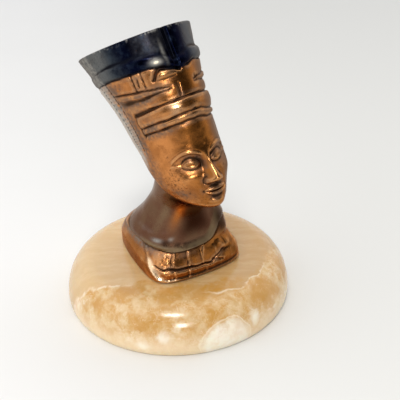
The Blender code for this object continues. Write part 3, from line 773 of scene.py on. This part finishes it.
def grey_zone(around, turned, rows, mottle):
    """Where grey-brown dulls the copper.

    Patina on the bands, the back edge, the jaw and a ledge, a darker strip under the brow band,
    and a painted shadow under the ribbon.
    """
    # A painted shadow just under the ribbon.
    ribbon_shadow = 0.95 * line(rows - RIBBON[0] + 0.03, 0.2) * within(around, -24, -9, 3)
    under = 0.75 * line(rows - BROW_BAND[0] + 0.22, 0.26) * within(around, -16, -7, 2)
    edge = 0.85 * within(turned, -84, -74, 4) * step(11.5, 13.5, rows)
    jaw = 0.55 * within(turned, -125, -70, 8) * within(rows, 9.2, 13.0, 0.8)
    round_spots = spots(around, rows, *GREY_AROUND)
    every = (ribbon_shadow, under, edge, jaw, round_spots, spots(turned, rows, *GREY_SPOTS))
    return np.clip(np.max(every, 0) * (1 + 0.35 * mottle), 0, 1)


def worn_zone(around, turned, rows, mottle):
    """Where metal shows grey through the top's patina, and along the shoulder's upper edge.

    It also holds painted highlights: a pale one on the lip and two on the neck's foot.
    """
    top = within(rows, TOP_ZONE + 0.55, RIM + 1, 0.1)
    panel = within(around, -10.5, -1.6, 1.2) * top
    panel = 0.1 * panel * (0.45 + 0.55 * step(-1.3, 1.5, 0.7 * mottle + 0.22 * (around + 4.5)))
    end = 0.3 * within(around, -40, -19, 2.5) * within(rows, TOP_ZONE, RIM + 1, 0.1)
    rim = 0.5 * line(rows - RIM, 0.07) * step(0.2, 1.2, mottle)
    ledge = 0.35 * mound(turned, rows, (-88, 3.02), (34, 0.3), 2.6) * step(-1.6, 0.4, mottle)
    back = 0.7 * within(turned, -104, -83, 4) * step(12.0, 14.0, rows) * step(-2.2, 0.6, mottle)
    round_spots = spots(around, rows, *WEAR_AND_HIGHLIGHT_AROUND)
    every = (panel, end, rim, ledge, back, round_spots, spots(turned, rows, *NECK_HIGHLIGHT_SPOTS))
    return np.clip(np.max(every, 0), 0, 1)


def pitted_zone(turned, rows, at):
    """Where small pits crowd: the right jaw and the collar's right corner."""
    return np.maximum(spots(turned, rows, *PITTED_SPOTS), spots(at, rows, PITTED_PLATE))


def roll_zone(turned, rows, above):
    """Where the neck is greyer: the roll round its foot and a faint band up its right side.

    On the roll the grey is a painted reflection.
    """
    foot = within(above, 0.02, 0.95, 0.25) * within(turned, -80, 36, 8)
    return np.maximum(foot, spots(turned, rows, ROLL_SPOT))


def painted_highlight_zone(turned, rows, at, up):
    """Painted highlights: the collar's right front corner and foot, and a spot on the brow band."""
    edge = line(at - CORNER(up) - 0.4, 1.5) * within(up, 0.5, 6.5, 0.5)
    foot = 0.8 * line(up - 0.7, 0.35) * within(at, -15.5, -9.5, 0.8)
    return np.maximum(np.maximum(edge, foot) * (rows < 3.2), spots(turned, rows, BAND_HIGHLIGHT_SPOT))


def top_rings(grid):
    """Rings that round the rim over and close the crown's top with a low dome."""
    rim, before = grid[-1], grid[-3]
    middle = rim.mean(0)
    axis = middle - before.mean(0)
    axis = axis / np.linalg.norm(axis)
    inward = middle - rim
    reach = np.linalg.norm(inward, axis=1, keepdims=True)
    rings = []
    for i in range(1, RIM_RINGS + 1):
        angle = math.pi / 2 * i / RIM_RINGS
        over = RIM_ROUND * (1 - math.cos(angle))
        rings.append(rim + inward / reach * over + axis * RIM_ROUND * math.sin(angle))
    edge = rings[-1]
    centre = edge.mean(0)
    for i in range(1, TOP_RINGS):
        share = i / TOP_RINGS
        rings.append(edge + (centre - edge) * share + axis * TOP_DOME * (1 - (1 - share) ** 2))
    return np.array(rings), centre + axis * TOP_DOME


def ring_mesh(name, rings, peak):
    """A smooth closed mesh of rings from the foot up, with a flat foot and a peak on the axis."""
    points = np.concatenate([rings.reshape(-1, 3), [peak]], 0)
    index = np.arange(len(points) - 1).reshape(rings.shape[:2])
    following = np.roll(index, -1, 1)
    quads = np.stack([index[:-1], following[:-1], following[1:], index[1:]], -1).reshape(-1, 4)
    faces = [tuple(quad) for quad in quads.tolist()]
    faces += [(a, b, len(points) - 1) for a, b in zip(index[-1].tolist(), following[-1].tolist())]
    faces.append(tuple(reversed(index[0].tolist())))
    mesh = bpy.data.meshes.new(name)
    mesh.from_pydata(points.tolist(), [], faces)
    mesh.shade_smooth()
    return mesh


# Marks that end at the rim and don't run on over the crown's top.
RIM_MARKS = ("groove", "edge", "near", "worn", "grey", "silver_reflection", "left_edge_reflection", "right_edge_reflection")


def bust_mesh(low, high):
    """The whole cast surface as one closed mesh whose height fits the part's own bust."""
    grid, turned, rows, at = cast_bust()
    shares = surface_marks(grid, turned, rows, at)
    rings, peak = top_rings(grid)
    bottom = grid[..., 2].min()
    scale = (high.z - low.z) / (max(grid[..., 2].max(), rings[..., 2].max()) - bottom)
    lift = low.z - bottom * scale
    grid, rings, peak = (points * scale + (0, 0, lift) for points in (grid, rings, peak))
    mesh = ring_mesh("queen_bust_cast", np.concatenate([grid, rings], 0), peak)
    for name, share in shares.items():
        above = np.broadcast_to(share[-1], rings.shape[:2])
        values = np.concatenate([share.ravel(), above.ravel(), [share[-1].mean()]])
        if name in RIM_MARKS:
            values[share.size + share.shape[1] * RIM_RINGS :] = 0
        layer = mesh.attributes.new(name, "FLOAT", "POINT")
        layer.data.foreach_set("value", values.astype(np.float32))
    return mesh


# Materials


class Nodes:
    """Short calls that make and join the nodes of one material or world."""

    def __init__(self, owner):
        owner.use_nodes = True
        self.tree = owner.node_tree
        nodes = self.tree.nodes
        self.shader = nodes.get("Principled BSDF") or nodes["Background"]
        self.places = nodes.new("ShaderNodeTexCoord").outputs
        self.coordinates = self.places["Object"]

    def node(self, kind, inputs, **settings):
        made = self.tree.nodes.new(kind)
        for key, value in settings.items():
            setattr(made, key, value)
        for key, value in inputs.items():
            self.join(value, made.inputs[key])
        return made

    def join(self, value, socket):
        if isinstance(value, bpy.types.NodeSocket):
            self.tree.links.new(value, socket)
        elif socket.type == "RGBA" and len(value) == 3:
            socket.default_value = (*value, 1)
        else:
            socket.default_value = value

    def share(self, name):
        """A mark of the fine mesh, from 0 to 1."""
        return self.node("ShaderNodeAttribute", {}, attribute_name=name).outputs["Fac"]

    def noise(self, scale, detail=4.0, roughness=0.55, distortion=0.0, at=None, output="Fac"):
        inputs = {"Vector": self.coordinates if at is None else at, "Scale": scale}
        inputs |= {"Detail": detail, "Roughness": roughness, "Distortion": distortion}
        return self.node("ShaderNodeTexNoise", inputs).outputs[output]

    def math(self, kind, a, b=0.0, clamp=False):
        inputs = {0: a, 1: b}
        return self.node("ShaderNodeMath", inputs, operation=kind, use_clamp=clamp).outputs[0]

    times = partialmethod(math, "MULTIPLY")
    plus = partialmethod(math, "ADD")
    less = partialmethod(math, "SUBTRACT")
    most = partialmethod(math, "MAXIMUM")
    least = partialmethod(math, "MINIMUM")
    size = partialmethod(math, "ABSOLUTE")

    def vector(self, kind, a, b=(0, 0, 0)):
        other = "Scale" if kind == "SCALE" else 1
        made = self.node("ShaderNodeVectorMath", {0: a, other: b}, operation=kind)
        return made.outputs["Value" if kind in ("LENGTH", "DOT_PRODUCT") else "Vector"]

    def ramp(self, value, stops):
        """A grey level read from (place, level) stops along the value's 0..1."""
        made = self.node("ShaderNodeValToRGB", {"Fac": value})
        made.color_ramp.interpolation = "B_SPLINE"
        points = made.color_ramp.elements
        while len(points) < len(stops):
            points.new(0.5)
        for point, (place, level) in zip(points, stops):
            point.position = place
            point.color = (level, level, level, 1)
        return made.outputs["Color"]

    def blob(self, at, centre, reach, low=1.15, high=0.55):
        """1 inside an oval spot and falling off at its edge."""
        return self.between(self.distance(at, centre, reach), low, high)

    def distance(self, at, centre, reach):
        """0 in the middle of an oval and 1 on its edge."""
        off = self.vector("SUBTRACT", at, centre)
        return self.vector("LENGTH", self.vector("MULTIPLY", off, tuple(1 / r for r in reach)))

    def between(self, value, low, high):
        """The value mapped smoothly from low..high to 0..1."""
        inputs = {"Value": value, "From Min": low, "From Max": high}
        made = self.node("ShaderNodeMapRange", inputs, interpolation_type="SMOOTHSTEP")
        return made.outputs["Result"]

    def mix(self, share, a, b):
        """Colour a where the share is 0 and colour b where it is 1."""
        made = self.node("ShaderNodeMix", {"Factor": share}, data_type="RGBA")
        for value, socket in zip((a, b), [s for s in made.inputs if s.type == "RGBA"]):
            self.join(value, socket)
        return next(s for s in made.outputs if s.type == "RGBA")

    def layers(self, colour, *above):
        """The colour with others laid over it, each with its share and its strength."""
        for other, share, strength in above:
            colour = self.mix(self.times(share, strength), colour, other)
        return colour

    def blend(self, share, a, b):
        """Number a where the share is 0 and number b where it is 1."""
        made = self.node("ShaderNodeMapRange", {"Value": share, "To Min": a, "To Max": b})
        return made.outputs["Result"]

    def bump(self, height, strength, distance):
        inputs = {"Height": height, "Strength": strength, "Distance": distance}
        return self.node("ShaderNodeBump", inputs).outputs["Normal"]

    def set(self, **sockets):
        for name, value in sockets.items():
            self.join(value, self.shader.inputs[name.replace("_", " ")])


COPPER_HIGH = (0.82, 0.43, 0.18)
# A painted shade of the copper.
COPPER_SHADED = (0.295, 0.103, 0.019)
COPPER = (0.58, 0.23, 0.07)
COPPER_DEEP = (0.25, 0.085, 0.022)
GREY_BROWN = (0.165, 0.112, 0.083)
RECESS = (0.05, 0.026, 0.014)
NECK_BROWN = (0.155, 0.083, 0.047)
NECK_RED = (0.13, 0.058, 0.034)
# The orange of the painted reflection on the neck.
NECK_GLOW = (0.50, 0.16, 0.03)
# The dark brown of the painted shade.
PAINTED_SHADE_BROWN = (0.018, 0.004, 0.001)
# The lighter grey of the neck's roll, a painted reflection.
ROLL_REFLECTION_GREY = (0.235, 0.165, 0.092)
# The colour of the painted highlights.
COPPER_PAINTED_HIGHLIGHT = (1.0, 0.74, 0.48)
TOP_BLACK = (0.002, 0.003, 0.012)
TOP_BLUE = (0.014, 0.022, 0.042)
# Painted reflections on the dark top's edges: grey at the figure's right, paler at its left.
TOP_REFLECTION_GREY = (0.055, 0.068, 0.080)
TOP_REFLECTION_PALE = (0.10, 0.115, 0.13)
WORN_GREY = (0.36, 0.35, 0.32)
# The pale grey of that painted reflection.
SILVER_PAINTED_REFLECTION = (0.60, 0.57, 0.52)
# The pale colour of the painted highlight on the lip.
PALE_HIGHLIGHT = (0.80, 0.72, 0.58)
TOP_RECESS = (0.006, 0.007, 0.012)
EDGE_TINT = (0.78, 0.70, 0.64)


def cast_metal():
    """Copper alloy with brown patina in its hollows, worn high edges and a blue-black top.

    Shade, highlights and reflections are painted into its colour in places.
    """
    material = bpy.data.materials.new("patinated_copper_cast")
    n = Nodes(material)
    cloud = n.noise(150, 5, 0.6)
    blotch = n.noise(420, 6, 0.65)
    grain = n.noise(1700, 4, 0.7)
    edge, dark, neck = n.share("edge"), n.share("dark_top"), n.share("neck")
    # right is a painted reflection along the head's edge at the figure's left
    worn, right, roll = n.share("worn"), n.share("right_edge_reflection"), n.share("roll")
    # Grey-brown: patina near the grooves and in the grey zones, a painted shadow under the ribbon,
    # and a painted reflection along the head's edge.
    patina_shade_sheen = n.times(n.times(n.share("near"), n.between(blotch, 0.3, 0.6)), 0.85)
    patina_shade_sheen = n.most(n.most(patina_shade_sheen, n.times(n.share("grey"), 0.9)), n.times(right, 0.7))
    dirt = n.times(n.share("groove"), n.between(grain, 0.05, 0.45), clamp=True)
    specks = n.between(n.noise(2600, 2, 0.5), 0.7, 0.76)
    crowded = n.between(n.noise(1900, 3, 0.6), 0.56, 0.63)
    specks = n.most(n.times(specks, 0.55), n.times(crowded, n.share("pitted")))
    copper = n.layers(
        COPPER,
        (COPPER_DEEP, n.between(cloud, 0.62, 0.38), 0.55),
        # painted shade from the front round the figure's left side
        (COPPER_SHADED, n.share("shaded"), 0.92),
        (COPPER_DEEP, n.between(n.share("hollow"), 0.4, 0.95), 0.45),
        (COPPER_DEEP, n.between(blotch, 0.5, 0.7), 0.45),
        # painted shade on the block's right side
        (COPPER_SHADED, n.share("side"), 0.7),
        (COPPER_HIGH, edge, 0.42),
        # grey-brown patina, with a painted shadow and a painted reflection
        (GREY_BROWN, patina_shade_sheen, 1),
        # painted highlights in bright copper
        (COPPER_PAINTED_HIGHLIGHT, n.share("painted_highlight"), 1),
    )
    brown = n.layers(
        NECK_RED,
        (NECK_BROWN, n.between(cloud, 0.38, 0.66), 1),
        (WORN_GREY, edge, 0.18),
        # painted reflection on the roll at the neck's foot
        (ROLL_REFLECTION_GREY, n.times(roll, n.between(blotch, 0.1, 0.6)), 1),
    )
    black = n.layers(
        TOP_BLACK,
        (TOP_BLUE, n.between(blotch, 0.45, 0.75), 1),
        # painted reflections along the dark top's edges
        (TOP_REFLECTION_GREY, n.times(n.share("left_edge_reflection"), n.between(blotch, 0.2, 0.6)), 1),
        (TOP_REFLECTION_PALE, right, 0.9),
    )
    colour = n.layers(
        copper,
        (brown, neck, 1),
        # painted reflection of warm orange light on the neck
        (NECK_GLOW, n.times(n.share("glow"), neck), 1),
        # painted shade under the chin and on the far shoulder
        (PAINTED_SHADE_BROWN, n.share("deep"), 0.92),
        # painted reflection of the bright surround at the back right of the head
        (SILVER_PAINTED_REFLECTION, n.times(n.share("silver_reflection"), n.between(blotch, 0.2, 0.5)), 1),
        (black, dark, 1),
        # grey worn metal, and painted highlights on the neck's foot
        (WORN_GREY, n.times(worn, n.between(grain, 0.2, 0.5)), 1),
        # a pale painted highlight on the lip, where the share is highest
        (PALE_HIGHLIGHT, n.between(worn, 0.8, 1.0), 1),
        (n.mix(dark, RECESS, TOP_RECESS), dirt, 1),
        (RECESS, specks, 1),
    )
    rough = n.blend(n.between(blotch, 0.3, 0.75), 0.19, 0.3)
    satin = n.least(n.times(n.times(worn, dark), 2.2), 0.22)
    for more in (n.times(n.most(dirt, patina_shade_sheen), 0.22), n.times(roll, 0.16), satin):
        rough = n.plus(rough, more)
    height = n.less(n.plus(n.times(grain, 0.5), n.times(blotch, 0.8)), n.times(specks, 0.9))
    n.set(Base_Color=colour, Roughness=rough, Metallic=1.0, Specular_Tint=EDGE_TINT)
    n.set(Normal=n.bump(height, 0.3, 0.0001))
    return material


STONE_TAN = (0.55, 0.345, 0.145)
STONE_CREAM = (0.69, 0.51, 0.29)
STONE_HONEY = (0.53, 0.268, 0.05)
STONE_AMBER = (0.58, 0.325, 0.095)
# A painted shade of the tan.
STONE_SHADED = (0.485, 0.295, 0.12)
# Painted light: the stone paler low down, as if lit through from the bright floor.
STONE_FLOOR_GLOW = (0.88, 0.72, 0.50)
STONE_WHITE = (0.90, 0.84, 0.72)
STONE_LINE = (0.88, 0.76, 0.58)
# Across the base from back to front the stone changes along one wavy seam. BAND_AXIS looks across
# the bands and SEAM_AXIS along them, and the seam's places are in millimetres along both.
SEAM_AXIS = (0.853, -0.522, 0.0)
BAND_AXIS = (0.522, 0.853, 0.0)
UP = (0.0, 0.0, 1.0)
SEAM = (
    (-36, -16), (-32, -17.5), (-25, -20.4), (-20, -20.9), (-13, -20.5), (-7, -19.7), (2, -23.5),
    (11, -27), (20, -22), (25, -17), (29, -8.5), (32, 4),
)
SEAM_SPAN = (-36.0, 36.0)
SEAM_LEVELS = (-30.0, 6.0)
# Each spot has its middle and its reach, in millimetres.
HONEY_SPOTS = (
    ((-24.0, -12.5, 15.0), (7.0, 3.0, 5.0)),
    ((-13.0, -20.5, 15.0), (8.0, 4.5, 4.0)),
    ((-1.0, -26.5, 15.0), (11.0, 4.6, 4.0)),
    ((-34.0, -9.0, 10.5), (3.0, 4.0, 3.5)),
    ((-26.5, -23.0, 9.5), (2.0, 2.4, 3.4)),
    ((14.0, -31.5, 11.5), (9.0, 5.5, 5.5)),
    ((27.5, -22.0, 10.5), (5.0, 5.5, 4.5)),
)
WHITE_SPOTS = (
    ((-21.8, -29.6, 6.6), (2.4, 2.0, 2.0)),
    ((-27.3, -25.6, 3.6), (2.4, 2.2, 1.5)),
    ((6.6, -36.2, 7.0), (2.0, 1.8, 1.9)),
)
CLOUD = ((-4.9, -38.0, 3.2), (9.2, 5.6, 7.6))


def seam_place(n, along):
    """How far across the bands the seam lies, read from a ramp along it."""
    (start, end), (low, high) = SEAM_SPAN, SEAM_LEVELS
    stops = [((a - start) / (end - start), (b - low) / (high - low)) for a, b in SEAM]
    level = n.ramp(n.math("DIVIDE", n.less(along, start), end - start), stops)
    return n.plus(n.times(level, high - low), low)


def onyx_stone():
    """Polished honey onyx: banded tan behind a seam, amber spots and a white cloud before it.

    Painted shade darkens it to the right, and painted light makes it paler low on the front.
    """
    material = bpy.data.materials.new("honey_onyx_polished")
    n = Nodes(material)
    millimetres = n.vector("SCALE", n.coordinates, 1000.0)
    warp = n.noise(0.16, 5, 0.6, at=millimetres, output="Color")
    warp = n.vector("SUBTRACT", warp, (0.5, 0.5, 0.5))
    at = n.vector("ADD", millimetres, n.vector("SCALE", warp, 5.0))
    loose = n.vector("ADD", millimetres, n.vector("SCALE", warp, 12.0))
    axes = (SEAM_AXIS, BAND_AXIS, UP)
    along, across, height = (n.vector("DOT_PRODUCT", at, axis) for axis in axes)
    behind = n.less(across, seam_place(n, along))
    hidden = n.times(n.between(along, -20.0, -10.0), n.between(along, 14.0, 6.0))
    hidden = n.most(hidden, n.between(along, 26.0, 31.0))
    soft = n.blend(hidden, 0.8, 5.0)
    front = n.between(behind, soft, n.times(soft, -1.0))
    stretched = {"X": n.times(along, 0.05), "Y": n.times(across, 0.36), "Z": n.times(height, 0.2)}
    banding = n.node("ShaderNodeCombineXYZ", stretched).outputs[0]
    band = n.noise(1.0, 6, 0.68, at=banding)
    cloud = n.noise(0.13, 6, 0.62, at=at)
    fine = n.noise(0.34, 6, 0.62, at=at)
    veins = n.size(n.less(n.noise(0.22, 5, 0.6, distortion=0.6, at=at), 0.5))
    tan = n.layers(
        STONE_TAN,
        (STONE_CREAM, n.between(band, 0.4, 0.66), 0.6),
        (STONE_HONEY, n.between(cloud, 0.42, 0.7), 0.3),
        (STONE_CREAM, n.between(along, 6.0, -30.0), 0.5),
        # painted shade towards the right front
        (STONE_SHADED, n.between(along, -4.0, 26.0), 0.45),
    )
    whitish = n.times(n.between(cloud, 0.44, 0.3), n.between(height, 14.0, 9.0))
    mottled = n.layers(
        STONE_AMBER,
        (STONE_CREAM, n.between(fine, 0.32, 0.66), 1),
        (STONE_HONEY, n.between(cloud, 0.5, 0.66), 0.6),
        (STONE_WHITE, whitish, 0.5),
        (STONE_LINE, n.between(veins, 0.012, 0.0), 0.4),
        # painted light, paler towards the foot
        (STONE_FLOOR_GLOW, n.between(height, 10.0, 2.0), 0.72),
    )
    amber = pale = 0.0
    for centre, reach in HONEY_SPOTS:
        amber = n.most(n.blob(loose, centre, reach), amber)
    for centre, reach in WHITE_SPOTS:
        pale = n.most(n.blob(at, centre, reach, 1.45, 0.15), pale)
    far = n.distance(at, *CLOUD)
    inside = n.times(n.between(far, 1.05, 0.75), n.blend(n.between(fine, 0.35, 0.65), 0.55, 0.95))
    outline = n.between(n.size(n.less(far, 1.0)), 0.06, 0.0)
    seam_line = n.times(n.between(n.size(behind), 0.75, 0.0), n.between(fine, 0.3, 0.55))
    seam_line = n.times(seam_line, n.blend(hidden, 1.0, 0.0))
    colour = n.layers(
        tan,
        (mottled, front, 1),
        (STONE_HONEY, n.times(amber, n.between(fine, 0.28, 0.6)), 0.86),
        (STONE_WHITE, n.most(n.times(pale, 0.8), inside), 1),
        (STONE_LINE, n.most(outline, seam_line), 0.6),
    )
    n.set(Base_Color=colour, Roughness=0.17, Specular_IOR_Level=0.5)
    n.set(Subsurface_Weight=0.4, Subsurface_Radius=(1.0, 0.6, 0.3), Subsurface_Scale=0.004)
    return material


# The base's profile, as in the part's source
BASE_DIAMETER = 0.075
BASE_THICKNESS = 0.015
SHOULDER_REACH = 0.0098
SHOULDER_DROP = 0.0122
FOOT_SETBACK = 0.0011
BASE_SIDES = 240
TOP_STEPS, SHOULDER_STEPS, FOOT_STEPS = 12, 40, 10
SHARP_ANGLE = math.radians(60)


def base_profile():
    """Points (reach, height) from beside the axis over the shoulder to the foot."""
    radius = BASE_DIAMETER / 2
    flat = radius - SHOULDER_REACH
    widest = BASE_THICKNESS - SHOULDER_DROP
    profile = [(flat * i / TOP_STEPS, BASE_THICKNESS) for i in range(1, TOP_STEPS)]
    for i in range(SHOULDER_STEPS + 1):
        turn = math.pi / 2 * (1 - i / SHOULDER_STEPS)
        reach = radius - SHOULDER_REACH * (1 - math.cos(turn))
        profile.append((reach, widest + SHOULDER_DROP * math.sin(turn)))
    for i in range(1, FOOT_STEPS + 1):
        turn = math.pi / 2 * i / FOOT_STEPS
        reach = radius - FOOT_SETBACK * (1 - math.cos(turn))
        profile.append((reach, widest * (1 - math.sin(turn))))
    return profile


def base_mesh():
    """The turned base on a fine mesh."""
    reach, height = np.array(base_profile()[::-1]).T
    angle = 2 * np.pi * np.arange(BASE_SIDES) / BASE_SIDES
    level = np.outer(height, np.ones(BASE_SIDES))
    rings = np.stack([np.outer(reach, np.cos(angle)), np.outer(reach, np.sin(angle)), level], -1)
    mesh = ring_mesh("onyx_base_polished", rings, (0, 0, BASE_THICKNESS))
    mesh.set_sharp_from_angle(angle=SHARP_ANGLE)
    return mesh


def placed(name, data):
    """A new object in the scene."""
    made = bpy.data.objects.new(name, data)
    bpy.context.scene.collection.objects.link(made)
    return made


def add(mesh, material, node):
    """A fine piece that rides with the part's body and stands for one of its nodes."""
    piece = placed(mesh.name, mesh)
    mesh.materials.append(material)
    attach(piece, "root")
    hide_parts(node)


add(bust_mesh(*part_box("queen_bust")), cast_metal(), "queen_bust")
add(base_mesh(), onyx_stone(), "onyx_base")


# The floor, the light and the camera

FLOOR_SIZE = 60.0
FLOOR_COLOUR = (0.825, 0.825, 0.82)
FLOOR_SHADE_AND_MOTTLE = (0.71, 0.71, 0.69)
# The direction in which painted shade darkens the floor.
FLOOR_FADE = (0.9, -0.43, 0.0)

# The surround is pale, and dark on one side above the horizon. A span says how far a direction has
# to look to that side, or up, for the dark to start and to be full.
SURROUND = (1.12, 1.125, 1.135)
DARK_ROOM = (0.08, 0.08, 0.085)
DARK_SIDE = (0.0, -1.0, 0.0)
DARK_SPAN = (0.14, 0.6)
DARK_ABOVE = (0.035, 0.11)
# Each lamp has its name, place, size, power and tint.
LAMPS = (
    ("key", (-0.27, -0.34, 0.70), (0.20, 0.13), 2.3, (1.0, 0.97, 0.92)),
    ("window", (-0.43, -0.84, 0.47), (0.15, 0.15), 2.7, (1.0, 0.97, 0.92)),
)
LAMP_AIM = (0, -0.01, 0.045)

CAMERA_PLACE = (-0.10065, -0.18325, 0.14705)
CAMERA_AIM = (-0.00572, -0.02525, 0.047)
CAMERA_ROLL = math.radians(-1.4)
CAMERA_LENS = 65.7


def pale_floor():
    """A wide plain floor with painted shade that darkens it a little towards the right and the
    front.
    """
    half = FLOOR_SIZE / 2
    corners = [(-half, -half, 0), (half, -half, 0), (half, half, 0), (-half, half, 0)]
    mesh = bpy.data.meshes.new("floor")
    mesh.from_pydata(corners, [], [(0, 1, 2, 3)])
    material = bpy.data.materials.new("pale_paper")
    n = Nodes(material)
    fade = n.between(n.vector("DOT_PRODUCT", n.coordinates, FLOOR_FADE), -0.12, 0.1)
    clouds = n.between(n.noise(9, 3), 0.3, 0.7)
    # painted shade towards the right and front, and faint random mottling
    tone = n.layers(FLOOR_COLOUR, (FLOOR_SHADE_AND_MOTTLE, fade, 1), (FLOOR_SHADE_AND_MOTTLE, clouds, 0.12))
    n.set(Base_Color=tone, Roughness=0.85, Specular_IOR_Level=0.2)
    mesh.materials.append(material)
    placed("floor", mesh)


def looking(place, aim):
    """The turn of a lamp or a camera that looks from a place at an aim."""
    return (Vector(aim) - Vector(place)).to_track_quat("-Z", "Y")


def softbox(name, place, size, power, tint):
    """A soft rectangular lamp that points at the bust."""
    light = bpy.data.lights.new(name, "AREA")
    light.shape = "RECTANGLE"
    light.size, light.size_y = size
    light.energy = power
    light.color = tint
    lamp = placed(name, light)
    lamp.location = place
    lamp.rotation_mode = "QUATERNION"
    lamp.rotation_quaternion = looking(place, LAMP_AIM)


def studio():
    """A pale surround that is darker on the side where the viewer stands, and two soft lamps."""
    world = bpy.data.worlds.new("studio")
    n = Nodes(world)
    side = n.vector("DOT_PRODUCT", n.places["Generated"], DARK_SIDE)
    above = n.vector("DOT_PRODUCT", n.places["Generated"], UP)
    dark = n.times(n.between(side, *DARK_SPAN), n.between(above, *DARK_ABOVE))
    n.set(Color=n.mix(dark, SURROUND, DARK_ROOM), Strength=1.0)
    bpy.context.scene.world = world
    for lamp in LAMPS:
        softbox(*lamp)


def camera():
    """The camera of the photograph's view."""
    data = bpy.data.cameras.new("camera")
    data.lens = CAMERA_LENS
    data.sensor_width = 36.0
    data.clip_start, data.clip_end = 0.01, 20.0
    made = placed("camera", data)
    turned = looking(CAMERA_PLACE, CAMERA_AIM).to_matrix().to_4x4()
    level = Matrix.Translation(CAMERA_PLACE) @ turned
    made.matrix_world = level @ Matrix.Rotation(CAMERA_ROLL, 4, "Z")
    bpy.context.scene.camera = made


pale_floor()
studio()
camera()
bpy.context.scene.view_settings.view_transform = "Standard"
